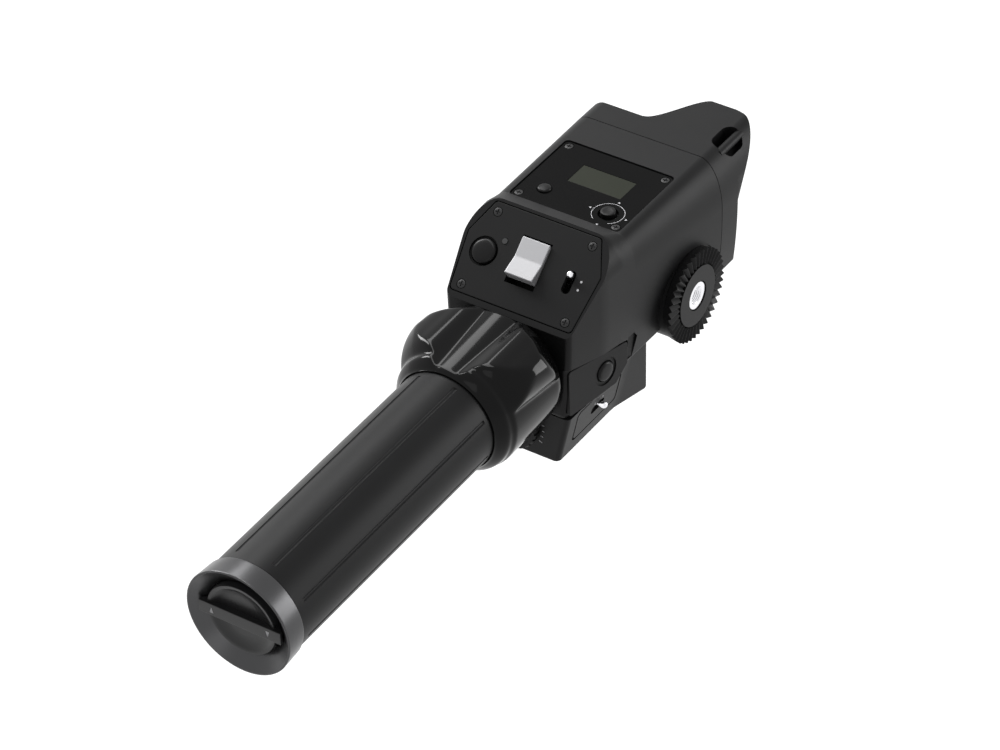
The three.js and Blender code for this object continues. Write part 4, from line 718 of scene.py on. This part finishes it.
def body_shell():
    shell = body_form("body_shell_look", REAR_Y, SEAM_Y, edge=2)
    trim(shell, ON_SWITCHES, 0)
    soften_face_rim(shell, ON_SWITCHES, 0, 0.7)
    pad_top = ROSETTE_BACK - GAP
    pad_low = pad_top - 6
    merge(shell, rod("pad", 17.9, pad_low, pad_top, ON_ROSETTE_OUT, 96))
    room = body_form("room", REAR_Y + 3, SEAM_Y + CLEAR, BODY_WALL, fine=False)
    trim(trim(room, ON_DISPLAY, DISPLAY_UNDER), ON_SWITCHES, PANEL_UNDER)
    cut(shell, room)
    for x, y in SWITCH_SCREWS:
        merge(shell, rod("boss", BOSS, BOSS_FOOT, PANEL_SEAT, at(ON_SWITCHES, x, y), 24))
    for x, y in DISPLAY_SCREWS:
        merge(shell, rod("boss", BOSS, BOSS_FOOT, DISPLAY_SEAT, at(ON_DISPLAY, x, y), 24))
    side_button = at(ON_SIDE, *SIDE_BUTTON)
    for step in (-6.8, 6.8):
        merge(shell, rod("post", 1.6, -4.7, -1.4, at(side_button, y=step), 24))
    function_button = at(ON_SWITCHES, *FUNCTION_BUTTON)
    switch_low, display_low = PANEL_UNDER - CLEAR, DISPLAY_UNDER - CLEAR
    finger_pocket = [(7.6, 34.4), (18.8, 34.4), (18.8, 38), (10.5, 40.4), (7.6, 38.2)]
    button_room_foot = -16.8
    cutters = [
        prism("seat", switch_outline(GAP), PANEL_SEAT, CLEAR, ON_SWITCHES),
        prism("opening", switch_outline(-5.5), switch_low, CLEAR, ON_SWITCHES),
        rod("relief", 5.9, switch_low, PANEL_SEAT + CLEAR, function_button),
        block("relief", (-8.2, -27.9, switch_low), (7, -6.7, CLEAR), ON_SWITCHES),
        prism("seat", display_outline(GAP, GAP), DISPLAY_SEAT, CLEAR),
        prism("opening", display_outline(-4.6, -2.6), display_low, CLEAR),
        window(2.5, display_low, CLEAR),
        prism("seat", side_outline(GAP, 0.75), -SIDE_THICK - GAP, SIDE_THICK, ON_SIDE),
        prism("pocket", finger_pocket, -1.6, 1.6, ON_SIDE),
        rod("button_bore", SIDE_BORE, button_room_foot, CLEAR, side_button),
        rod("button_room", 5.2, button_room_foot, -2.3, side_button),
        rod("spigot_bore", 7.3, ROSETTE_BACK - SPIGOT_LONG - GAP, 0, ON_ROSETTE_OUT),
        rod("flange_bore", 7.6, pad_low, -7.5, ON_ROSETTE_OUT),
        rod("spot_face", 19.1, pad_top, 40, ON_ROSETTE_OUT, 96),
        block("hatch", (-17, -31, -90), (17, 7.4, -50)),
        rod("dial_relief", 13.1, -41.3, -37.3, DIAL_AXIS, 96),
        rod("rear_bore", 12.6, REAR_Y - CLEAR, REAR_Y + 4, ON_GRIP @ ALONG_Y, 96),
    ]
    cutters += screw_holes(ON_SWITCHES, SWITCH_SCREWS)
    cutters += screw_holes(ON_DISPLAY, DISPLAY_SCREWS)
    return cut_all(shell, cutters)


CAP_FRONT, HUMP_FRONT = 66.5, 88
HUMP_FOOT_X, HUMP_TOP_X = -7.5, 10.5
HUMP_LEAN = 0.5


def cap_form(name, inset, fine=True):
    """The cap's solid: the body's section carried on, cut to its plan, with the hump in front of it."""
    start = SEAM_Y + GAP - (CLEAR if inset else 0)
    front = CAP_FRONT - inset
    steps = 16 if fine else 5
    corner_wide, corner_deep = 2.3, 3.5
    plan = [(-SEAM_HALF, 0)]
    for sine, cosine in quarter(steps):
        plan.append((-SEAM_HALF + corner_wide * (1 - cosine), front - corner_deep * (1 - sine)))
    plan += [(SEAM_HALF, front), (SEAM_HALF, 0)]
    main = loft(name, [section(SEAM_Y, inset, y) for y in (start, front)])
    cut(main, prism("plan", plan, BODY_FOOT, CREST_TOP), "INTERSECT")
    hump = loft("hump", [section(SEAM_Y, inset, y) for y in (start, HUMP_FRONT)])
    hump_plan = [(HUMP_FOOT_X + inset, 0)]
    flank_steps = 24
    for k in range(flank_steps + 1):
        share = k / flank_steps
        x = lerp(HUMP_FOOT_X, HUMP_TOP_X, share) + inset
        hump_plan.append((x, lerp(CAP_FRONT, HUMP_FRONT, ease(share)) - inset))
    for sine, cosine in quarter(steps):
        hump_plan.append((lerp(17, SEAM_HALF, sine), lerp(76, HUMP_FRONT, cosine) - inset))
    hump_plan.append((SEAM_HALF, 0))
    lean = Matrix(((1, 0, 0, 0), (0, 1, HUMP_LEAN, 0), (0, 0, 1, 0), (0, 0, 0, 1)))
    cut(hump, prism("plan", hump_plan, BODY_FOOT, CREST_TOP, ON_DISPLAY @ lean), "INTERSECT")
    return merge(main, hump)


def strap_pocket(grow):
    return round_corners(rectangle(22 - grow, 64 - grow, 30.5 + grow, 78 + grow), 4.1)


def front_cap():
    cap = cap_form("front_cap_look", 0)
    cup = prism("cup", strap_pocket(1.6), -9.6, CREST_TOP)
    cut(cup, cap_form("skin", 0), "INTERSECT")
    cut(cap, cap_form("room", BODY_WALL, False))
    merge(cap, cup)
    cut(cap, prism("pocket", strap_pocket(0), -8, CREST_TOP))
    merge(cap, rod("bar", 1.8, 63.2, 78.8, at(ON_DISPLAY, 27, 0, -2.5) @ ALONG_Y, 32))
    seat = BODY_WALL + GAP
    seam = SEAM_Y + GAP
    root = seam + 1.6
    lip = loft("lip", [section(SEAM_Y, seat, y) for y in (SEAM_Y - 4, root)])
    merge(lip, loft("lip_root", [section(SEAM_Y, seat / 2, y) for y in (seam, root)]))
    cut(lip, loft("lip_bore", [section(SEAM_Y, seat + 1.6, y) for y in (0, 100)]))
    trim(lip, ON_DISPLAY, DISPLAY_UNDER - GAP)
    merge(cap, lip)
    return cut(cap, rod("socket_bore", 7.3, 62, 68, at(ON_DISPLAY, -17, 0, -22) @ ALONG_Y))


def side_plate():
    proud = 0.4
    button_place = at(ON_SIDE, *SIDE_BUTTON)
    plate = prism("side_plate_look", side_outline(0), -SIDE_THICK, proud, ON_SIDE)
    soften_face_rim(plate, ON_SIDE, proud, 0.25, 2)
    cut(plate, rod("collar", 5.8, -0.1, 3, button_place, 64))
    return cut(plate, rod("bore", SIDE_BORE, -3, 3, button_place, 64))


BLOCK_FOOT, BLOCK_TALL = -82.6, 25.6


def block_ring(z, inset):
    """The block's outline at a height, with its sides flaring out towards the front."""
    share = (z - BLOCK_FOOT) / BLOCK_TALL
    half = lerp(20, 26, share) - inset
    flare = lerp(23.8, 27.5, share) - inset
    rear = -37 + inset
    front = lerp(19, 13.5, share) - inset
    corner, deep = 2, 2.1
    right = []
    for sine, cosine in quarter(6):
        right.append((half - corner + corner * sine, rear + corner - corner * cosine))
    right += [(half, -2), (lerp(half, flare, 0.04), 0.8), (lerp(half, flare, 0.2), 3.6)]
    for sine, cosine in quarter(6):
        right.append((flare - corner + corner * cosine, front - deep + deep * sine))
    left = [(-x, y) for x, y in reversed(right)]
    return [(x, y, z) for x, y in right + left]


def toggle_plate_outline(grow):
    return round_corners(rectangle(-7 - grow, -15 - grow, 7.2 + grow, 14 + grow), 2)


def lower_block():
    edge = 1.2
    rings = [block_ring(BLOCK_FOOT + edge * (1 - c), edge * (1 - s)) for s, c in quarter(4)]
    piece = loft("lower_block_look", rings + [block_ring(-50, 0)])
    cut(piece, block("shoulder", (-60, -60, -60.5), (60, -9, -40)))
    wall = 2.2
    cut(piece, loft("room", [block_ring(BLOCK_FOOT + wall, wall), block_ring(-49, wall)]))
    cut(piece, body_form("body_skin", REAR_Y - CLEAR, SEAM_Y, -GAP))
    groove_half = 0.35
    groove = prism("groove", toggle_plate_outline(groove_half), -0.7, 2.2, ON_BLOCK)
    cut(groove, prism("inner", toggle_plate_outline(-groove_half), -2, 4, ON_BLOCK))
    cut(piece, groove)
    cut(piece, toggle_slot(ON_BLOCK, -6, 6))
    cut(piece, rod("shaft_bore", SHAFT_BORE, -38, -33.8, DIAL_AXIS))
    marks = []
    scale = (62, 73, 84, 95, 106, 117)
    for turn in scale:
        long = 1.5 if turn in (scale[0], scale[-1]) else 0.9
        spoke = DIAL_AXIS @ Matrix.Rotation(math.radians(90 - turn), 4, "Z")
        marks.append(block("mark", (13.4, -0.16, -37.03), (13.4 + long, 0.16, -37), spoke))
    for step in (-2.6, 2.6):
        marks.append(block("mark", (-3.6, step - 0.2, 0), (-2.5, step + 0.2, 0.03), ON_BLOCK))
    return piece, marks


def switch_plate():
    plate = prism("switch_plate_look", switch_outline(0), -SWITCH_THICK, 0, ON_SWITCHES)
    soften_face_rim(plate, ON_SWITCHES, 0, 0.3, 2)
    function_button = at(ON_SWITCHES, *FUNCTION_BUTTON)
    extender = at(ON_SWITCHES, *EXTENDER)
    slot_low, slot_high = (-6.2, -9.2, -THROUGH), (6.2, 9.2, THROUGH)
    cutters = [
        rod("bore", 5.2, -THROUGH, THROUGH, function_button, 64),
        rod("collar", 5.7, -0.9, THROUGH, function_button, 64),
        rod("lamp_bore", 1.22, -THROUGH, THROUGH, at(ON_SWITCHES, *LAMP_PLACE), 32),
        block("rocker_slot", slot_low, slot_high, at(ON_SWITCHES, *ROCKER)),
        toggle_slot(extender),
    ]
    cut_all(plate, cutters + screw_holes(ON_SWITCHES, SWITCH_SCREWS))
    return plate, [rod("mark", 0.45, 0, MARK_HIGH, at(extender, 4.6, step), 20) for step in (1.6, -1.6)]


def display_panel():
    plate = prism("display_panel_look", display_outline(0, 0), -DISPLAY_THICK, 0)
    soften_face_rim(plate, ON_DISPLAY, 0, 0.25, 2)
    stick = at(ON_DISPLAY, *STICK)
    cutters = [
        window(0, -THROUGH, THROUGH),
        rod("bore", 2.9, -THROUGH, THROUGH, at(ON_DISPLAY, *DISPLAY_BUTTON), 48),
        rod("bore", 3.9, -THROUGH, THROUGH, stick, 64),
    ]
    cut_all(plate, cutters + screw_holes(ON_DISPLAY, DISPLAY_SCREWS))
    marks = []
    for turn in (0, 90, 180, 270):
        tilt = stick @ Matrix.Rotation(math.radians(turn), 4, "Z")
        marks.append(prism("mark", [(-0.55, 7.3), (0.55, 7.3), (0, 8.1)], 0, MARK_HIGH, tilt))
    turns = [math.radians(degrees) for degrees in range(-60, 241, 5)]
    arc = [(6.2 * math.cos(turn), 6.2 * math.sin(turn)) for turn in turns]
    inner = [(x * 0.972, y * 0.972) for x, y in reversed(arc)]
    marks.append(prism("mark", arc + inner, 0, MARK_HIGH, stick))
    return plate, marks


TOOTH_DEEP, TOOTH_COUNT = 1.5, 40
ROSETTE_RADIUS = 18.8


def rosette_mount():
    bore, spigot, rear = 5.9, 7, ROSETTE_BACK
    spigot_end = rear - SPIGOT_LONG
    profile = [(bore, spigot_end), (spigot, spigot_end), (spigot, rear), (18.2, rear)]
    profile += [(ROSETTE_RADIUS, -0.15), (18.65, 0), (bore, 0)]
    disc = lathe("rosette_mount_look", profile, ON_ROSETTE_OUT, 160, True)
    ring = [(12.2, -1.5), (12.8, -1.5), (12.8, 1), (12.2, 1)]
    cut(disc, lathe("moat", ring, ON_ROSETTE_OUT, 96, True))
    wedges = []
    for k in range(TOOTH_COUNT):
        turned = ON_ROSETTE_OUT @ Matrix.Rotation(TAU * k / TOOTH_COUNT, 4, "Z")
        points = []
        over = 0.5
        for r in (12.32, 19.8):
            half = math.pi * r * 0.94 / TOOTH_COUNT
            depth = TOOTH_DEEP * r / ROSETTE_RADIUS
            spread = half * (1 + over / depth)
            points += [(r, 0, -depth), (r, spread, over), (r, -spread, over)]
        faces = [(0, 1, 2), (3, 5, 4), (0, 3, 4, 1), (1, 4, 5, 2), (2, 5, 3, 0)]
        wedges.append(face_out(mesh_piece("groove", points, faces, turned)))
    return cut_all(disc, wedges)


def rosette_insert():
    bore, groove, pitch_half = 3.2, 3.5, 0.36
    threads = 12
    profile = [(7.3, -9.8), (7.3, -7.8), (5.6, -7.8), (5.6, -0.6), (5.4, -0.4), (3.6, -0.4)]
    for k in range(threads):
        height = lerp(-0.8, -9.4, k / threads)
        profile += [(bore, height), (groove, height - pitch_half)]
    profile.append((bore, -9.7))
    return lathe("rosette_insert_look", profile, ON_ROSETTE_OUT, 96, True)


def rocker_paddle():
    """The paddle leans to its resting side, over a round pin."""
    pin = at(ON_SWITCHES, ROCKER[0], ROCKER[1], -3.9)
    tilt = pin @ Matrix.Rotation(math.radians(-9.5), 4, "X")
    half, long = 5.9, 7.6
    side = [(-long, 6.4), (-long, 2), (-3.6, -2.4), (3.6, -2.4), (long, 2), (long, 6.4), (0, 5)]
    paddle = loft("rocker_look", [[(x, y, z) for y, z in side] for x in (-half, half)], tilt)
    rounded(paddle, 0.45, 3, 12)
    return cut(paddle, rod("pin_bore", 1.3, -9, 9, tilt @ ALONG_X, 32))


GRIP_RIM = -202.8


def torque_knob():
    """A dished knob with a bar across it, whose two ends stand in the end ring's mouth."""
    here = ON_GRIP @ ALONG_Y
    face, edge, dish, front = GRIP_RIM + 0.9, GRIP_RIM + 1.9, GRIP_RIM + 3.6, -194
    radius = 14.4
    profile = [(0, dish), (8, dish - 0.05), (11, dish - 0.35), (12.6, edge + 0.3), (13.4, edge + 0.02)]
    profile += [(14.1, edge), (radius, edge + 0.5), (radius, front), (0, front)]
    knob = lathe("torque_knob_look", profile, here, 128)
    root, tip, reach = face + 4, face + 1.4, 17.1
    outline = [(-reach, face), (reach, face), (reach, tip), (14.1, root), (-14.1, root), (-reach, tip)]
    bar = loft("bar", [[(x, y, z) for x, y in outline] for z in (-2.6, 2.6)], ON_GRIP)
    rounded(bar, 0.35, 2, 30)
    merge(knob, bar)
    cut(knob, rod("bore", SHAFT_BORE, front - 3, front + 1, here, 48))
    marks = []
    for side in (-1, 1):
        middle, foot = side * 11.7, side * 1.2
        triangle = [(middle - 0.75, foot), (middle + 0.75, foot), (middle, -foot)]
        rings = [[(x, y, z) for x, z in triangle] for y in (face - MARK_HIGH, face)]
        marks.append(loft("mark", rings, ON_GRIP))
    return knob, marks


def end_ring():
    rim = GRIP_RIM
    profile = [(20.6, rim + 0.12), (20.75, rim), (21.15, rim), (21.4, rim + 0.15), (21.5, rim + 0.4)]
    profile += [(20.95, -194.2), (20.8, -193.8), (20.5, -193.7), (14.8, -193.7)]
    profile += [(14.8, rim + 4.6), (15, rim + 4.5)]
    return lathe("end_ring_look", profile, ON_GRIP @ ALONG_Y, 160, True)


def grip_sleeve():
    radius, bore = 20.2, 17.4
    rear, front, edge = -193.4, -73.6, 0.2
    profile = [(bore, rear), (radius - edge, rear), (radius, rear + edge), (radius, front - edge)]
    profile += [(radius - edge, front), (bore, front)]
    sleeve = lathe("grip_sleeve_look", profile, ON_GRIP @ ALONG_Y, 192, True)
    groove_radius, groove_deep, groove_count = 0.9, 0.55, 8
    groove_rear, groove_front = -188.7, -80.9
    ends = [(groove_radius * sine, -groove_radius * cosine) for sine, cosine in quarter(5)]
    profile = [(r, groove_rear + h) for r, h in ends]
    profile += [(r, groove_front - h) for r, h in reversed(ends)]
    lie = radius + groove_radius - groove_deep
    for k in range(groove_count):
        angle = math.radians(25.5) + TAU * k / groove_count
        spot = at(ON_GRIP, lie * math.cos(angle), 0, lie * math.sin(angle)) @ ALONG_Y
        cut(sleeve, lathe("groove", profile, spot, 24))
    return sleeve


# The twist ring's form, read off the photo: how far its radius has come from the lesser to the greater,
# along the grip at its rear and its front, and round it from a valley to a lobe
REAR_CONE = [(0, 0), (0.054, 0.152), (0.119, 0.304), (0.162, 0.313), (0.216, 0.473), (0.27, 0.634)]
REAR_CONE += [(0.378, 0.857), (0.486, 0.991), (0.595, 1.1)]
FRONT_SLOPE = [(0, 1.5), (0.5, 1.08), (0.595, 1), (0.703, 0.944), (0.811, 0.667), (0.919, 0.208), (1, 0)]
LOBE = [(0, 0), (0.196, 0.01), (0.333, 0.154), (0.412, 0.288), (0.49, 0.433), (0.64, 0.606), (0.745, 0.702)]
LOBE += [(0.882, 0.875), (1, 1)]
RING_REAR, RING_FRONT = -78, -41
RING_RADIUS = 32.1
CREASE_TURN = 51


def curve(table, share):
    """Reads a table of pairs along a smooth curve through them."""
    spots = [p[0] for p in table]
    k = max(i for i in range(len(spots) - 1) if spots[i] <= share or i == 0)
    if share >= spots[-1]:
        return table[-1][1]

    def slope(i):
        if i == 0 or i == len(table) - 1:
            return 0.0
        before = (table[i][1] - table[i - 1][1]) / (spots[i] - spots[i - 1])
        after = (table[i + 1][1] - table[i][1]) / (spots[i + 1] - spots[i])
        return 0.0 if before * after <= 0 else 2 * before * after / (before + after)

    width = spots[k + 1] - spots[k]
    t = (share - spots[k]) / width
    first, last = table[k][1], table[k + 1][1]
    values = (1 + 2 * t) * (1 - t) ** 2 * first + t * t * (3 - 2 * t) * last
    return values + t * (1 - t) ** 2 * width * slope(k) - t * t * (1 - t) * width * slope(k + 1)


def soft_min(first, second, width):
    """The lesser of two radii, with the edge between them rounded over a width."""
    blend = ramp(second - first, -width, width)
    return lerp(second, first, blend) - width * blend * (1 - blend)


def twist_radius(share, turn):
    """The ring's radius at a share of its length and a turn in degrees from the scallop's middle."""
    rear = lerp(20.9, RING_RADIUS, curve(REAR_CONE, share))
    front = lerp(24.9, RING_RADIUS, curve(FRONT_SLOPE, share))
    valley = lerp(21.7, 23.3, share)
    if turn < CREASE_TURN:
        lobe = -soft_min(-lerp(21.7, RING_RADIUS, curve(LOBE, turn / CREASE_TURN)), -valley, 0.4)
    else:
        flank_end = lerp(70, 80, share)
        lobe = lerp(25.2, RING_RADIUS, math.cos(QUARTER * ramp(turn, CREASE_TURN, flank_end)))
    return soft_min(soft_min(rear, lobe, 0.9), front, 0.9)


def ring_turns():
    """The turns at which the ring is sampled: close together up to the crease and on its flank."""
    turns = [k * 1.275 for k in range(41)]
    turns += [CREASE_TURN + k * 1.3 for k in range(1, 31)]
    turns += [92 + k * 4 for k in range(23)]
    return turns + [-turn for turn in reversed(turns[1:-1])]


def twist_ring():
    """Rows of points go round the ring's own section: bore, rear end, skin, front end and bore."""
    turns = ring_turns()
    count = len(turns)
    sleeve_bore, hub_bore, step = 20.5, 10.5, -71.8
    rim, rim_share = 0.6, 0.984
    skin_steps = 74
    rear_end = [(sleeve_bore, step), (sleeve_bore, RING_REAR + 0.2), (20.7, RING_REAR)]
    rows = [[spot] * count for spot in rear_end]
    for k in range(skin_steps + 1):
        s = lerp(RING_REAR + 0.05, RING_FRONT - rim, k / skin_steps)
        share = (s - RING_REAR) / (RING_FRONT - RING_REAR)
        rows.append([(twist_radius(share, abs(turn)), s) for turn in turns])
    for sine, cosine in quarter(3, 1):
        s, drop = RING_FRONT - rim + rim * sine, rim * (1 - cosine)
        rows.append([(twist_radius(rim_share, abs(turn)) - drop, s) for turn in turns])
    rows += [[spot] * count for spot in ((hub_bore, RING_FRONT), (hub_bore, step))]
    points, faces = [], []
    for row in rows:
        for (r, s), turn in zip(row, turns):
            angle = math.radians(turn)
            points.append((r * math.sin(angle), s, r * math.cos(angle)))
    for j in range(len(rows)):
        low, high = j * count, ((j + 1) % len(rows)) * count
        for k in range(count):
            beside = (k + 1) % count
            faces.append((low + k, low + beside, high + beside, high + k))
    ring = face_out(mesh_piece("twist_ring_look", points, faces, ON_GRIP))

    def skin(form):
        form.verts.ensure_lookup_table()
        return form.verts[5 * count:(3 + skin_steps) * count]

    def even_out():
        bpy.ops.mesh.vertices_smooth(factor=0.5, repeat=4)

    return edit_chosen(ring, "VERT", skin, even_out)


def speed_dial():
    face, back, radius, flutes = -40.3, -37.6, 12.5, 24
    profile = [(0, face + 0.3), (10.6, face + 0.3), (10.9, face), (11.9, face), (radius, face + 0.7)]
    dial = lathe("speed_dial_look", profile + [(radius, back), (0, back)], DIAL_AXIS, 144)
    for k in range(flutes):
        angle = TAU * (k + 0.5) / flutes
        spot = at(DIAL_AXIS, radius * math.cos(angle), radius * math.sin(angle))
        cut(dial, rod("flute", 0.7, face - 1, back + 1, spot, 16))
    return merge(dial, rod("shaft", 3, back - 1, back + 6.5, DIAL_AXIS, 48))


def button(name, place, radius, rise, edge, flange, flange_thick, plate_thick, dish):
    """A round key with a rounded edge, held under its plate by a flange. A dish below 0 is a dome."""
    shoulder = -plate_thick - GAP
    low = shoulder - flange_thick
    profile = [(0, low), (flange, low), (flange, shoulder), (radius, shoulder), (radius, rise - edge)]
    profile += [(radius - edge * (1 - c), rise - edge * (1 - s)) for s, c in quarter(4, 1)]
    profile += [(radius * 0.55, rise - dish * 0.8), (0, rise - dish)]
    return lathe(name + "_look", profile, place, 72)


def toggle_lever(name, matrix, swing):
    """A lever on a cross pin, thrown to one side by its swing in degrees."""
    pose = at(matrix, z=-4.6) @ Matrix.Rotation(math.radians(-swing), 4, "X")
    tip, tip_middle = 1.45, 6.35
    profile = [(0, -1.5), (0.8, -1.27), (1.3, -0.75), (1.5, 0), (1.25, 0.9), (1, 1.5), (1, 3.6)]
    profile += [(1.12, 4.6), (tip, 6.1)]
    profile += [(tip * cosine, tip_middle + tip * sine) for sine, cosine in quarter(6, 1)[:-1]]
    lever = lathe(name + "_look", profile + [(0, tip_middle + tip)], pose, 40)
    return merge(lever, rod("pin", 0.7, -2.6, 2.6, pose @ ALONG_X, 24))


def joystick_cap():
    stem, radius, under = 1.1, 2.9, 2.5
    profile = [(0, -0.9), (stem, -0.9), (stem, under), (radius, under), (radius, 4.5), (2.75, 4.85)]
    profile += [(2.4, 5), (1.6, 4.86), (0, 4.8)]
    return lathe("joystick_cap_look", profile, at(ON_DISPLAY, STICK[0], STICK[1], -3.6), 56)


def screw(name, matrix, x, y):
    """A countersunk screw with a cross slot."""
    here = at(matrix, x, y)
    profile = [(0, -SCREW_LONG), (SCREW_SHANK, -SCREW_LONG), (SCREW_SHANK, -1)]
    profile += [(SCREW_HEAD, -0.06), (1.5, 0), (0, 0)]
    piece = lathe(name + "_look", profile, here, 32)
    long, half = 1, 0.225
    cut(piece, block("slot", (-half, -long, -0.5), (half, long, 1), here))
    return cut(piece, block("slot", (-long, -half, -0.5), (long, half, 1), here))


def with_marks(piece, marks, node, material, mark_material, angle=35):
    """Finishes a piece whose printed marks take a second material."""
    stands_for(smooth(piece, angle), node, material)
    piece.data.materials.append(mark_material)
    for mark in marks:
        for face in mark.data.polygons:
            face.material_index = 1
        mark.data.materials.append(material)
        mark.data.materials.append(mark_material)
    return join(piece, *marks)


# Each piece that has one finish, with the angle under which its faces shade as one
OUTER_PIECES = [
    ("body_shell", body_shell, PAINT, 28),
    ("front_cap", front_cap, PAINT, 28),
    ("side_plate", side_plate, PLATE, 35),
    ("rosette_mount", rosette_mount, PAINT, 25),
    ("rosette_insert", rosette_insert, CHROME, 35),
    ("rocker", rocker_paddle, WHITE, 35),
    ("end_ring", end_ring, DARK_METAL, 35),
    ("grip_sleeve", grip_sleeve, SLEEVE, 30),
    ("twist_ring", twist_ring, GLOSS, 40),
    ("speed_dial", speed_dial, PLATE, 35),
    ("joystick_cap", joystick_cap, KEYS, 35),
]
for node, make, material, angle in OUTER_PIECES:
    stands_for(smooth(make(), angle), node, material)
with_marks(*switch_plate(), "switch_plate", PLATE, INK)
with_marks(*display_panel(), "display_panel", GLASSY, INK)
with_marks(*lower_block(), "lower_block", PAINT, INK, 28)
with_marks(*torque_knob(), "torque_knob", KNOB, INK)

# Each button's radius, rise and rounded edge, its flange, its plate's thickness and its dish
BUTTONS = [
    ("function_button", at(ON_SWITCHES, *FUNCTION_BUTTON), 4.9, 0.6, 1.3, 5.6, 1.2, SWITCH_THICK, -0.2),
    ("display_button", at(ON_DISPLAY, *DISPLAY_BUTTON), 2.6, 0.9, 0.8, 3.3, 0.8, DISPLAY_THICK, -0.1),
    ("side_button", at(ON_SIDE, *SIDE_BUTTON), 4.1, 0.9, 1.1, 4.9, 1.2, 2.3, -0.1),
]
for settings in BUTTONS:
    stands_for(smooth(button(*settings)), settings[0], KEYS)
extender_toggle = toggle_lever("extender_toggle", at(ON_SWITCHES, *EXTENDER), 24)
stands_for(smooth(extender_toggle), "extender_toggle", CHROME)
stands_for(smooth(toggle_lever("lower_toggle", ON_BLOCK, 20)), "lower_toggle", CHROME)
SCREW_SETS = [
    ("switch_screw_", ON_SWITCHES, SWITCH_SCREWS, ("upper", "lower")),
    ("display_screw_", ON_DISPLAY, DISPLAY_SCREWS, ("near", "far")),
]
for prefix, matrix, spots, rows in SCREW_SETS:
    names = [prefix + row + side for row in rows for side in ("_left", "_right")]
    for node, (x, y) in zip(names, spots):
        stands_for(smooth(screw(node, matrix, x, y)), node, BLACK_STEEL)
for node in ("lens_socket_shell", "status_lamp", "lens_socket_insulator"):
    stands_for(smooth(copy_of(node)), node, FINISH_OF[SLOT_OF[node]])


# The studio
def seen_plainly(nodes):
    """Is 1 for what the camera sees straight, in a reflection or through glass, and 0 for soft light."""
    seen = nodes.node("ShaderNodeLightPath", {}, {}, "Is Camera Ray")
    for kind in ("Is Glossy Ray", "Is Transmission Ray"):
        seen = seen.maths("MAXIMUM", seen, nodes.node("ShaderNodeLightPath", {}, {}, kind))
    return seen


def studio():
    world = bpy.data.worlds.new("white_studio")
    bpy.context.scene.world = world
    world.use_nodes = True
    world.node_tree.nodes.clear()
    sky = Nodes(world.node_tree)
    white = (1, 1, 1, 1)
    soft = sky.node("ShaderNodeBackground", {}, {"Color": white, "Strength": 0.2})
    plain = sky.node("ShaderNodeBackground", {}, {"Color": white, "Strength": 1})
    mix = sky.node("ShaderNodeMixShader", {}, {0: seen_plainly(sky), 1: soft, 2: plain})
    sky.node("ShaderNodeOutputWorld", {}, {"Surface": mix})

    floor_below = 0.09
    bpy.ops.mesh.primitive_plane_add(size=8, location=(0, 0, cad_box[0].z - floor_below))
    floor = bpy.context.object
    floor.name = "floor"
    bpy.ops.object.transform_apply(location=True)
    shade = Shade("pale_floor", (0.22, 0.22, 0.22), 0.9)
    shade.set("Emission Color", (0.9, 0.9, 0.9, 1))
    shade.set("Emission Strength", seen_plainly(shade))
    floor.data.materials.append(shade.material)


def lamp(name, place, aim, size, watts):
    data = bpy.data.lights.new(name, "AREA")
    data.shape = "RECTANGLE"
    data.size, data.size_y = size
    data.energy = watts
    light = bpy.data.objects.new(name, data)
    bpy.context.scene.collection.objects.link(light)
    light.location = place
    light.rotation_euler = (Vector(aim) - Vector(place)).to_track_quat("-Z", "Y").to_euler()


def camera():
    data = bpy.data.cameras.new("photo_camera")
    data.lens = LENS
    data.sensor_width = SENSOR
    data.clip_start = 0.05
    data.clip_end = 50
    made = bpy.data.objects.new("photo_camera", data)
    bpy.context.scene.collection.objects.link(made)
    right, down = CAMERA_RIGHT.normalized(), CAMERA_DOWN.normalized()
    forward = right.cross(down)
    turn = Matrix((right, -down, -forward)).transposed().to_4x4()
    made.matrix_world = Matrix.Translation(ON_DISPLAY @ CAMERA_PLACE) @ turn
    bpy.context.scene.camera = made


camera()
studio()
MIDDLE = (cad_box[0] + cad_box[1]) / 2
# Each lamp's place from the object's middle in metres, its two sides and its power
LAMPS = [
    ("overhead_box", (-0.35, 0.35, 1.05), (0.3, 1.3), 8),
    ("left_strip", (-1.0, 0.25, 0.65), (0.36, 0.75), 14),
    ("right_rim", (0.9, 0.9, 0.2), (0.4, 0.7), 7),
    ("front_fill", (0.3, -1.2, 0.5), (0.5, 0.9), 1.2),
]
for name, place, size, watts in LAMPS:
    lamp(name, MIDDLE + Vector(place), MIDDLE, size, watts)

bpy.context.scene.view_settings.view_transform = "Standard"
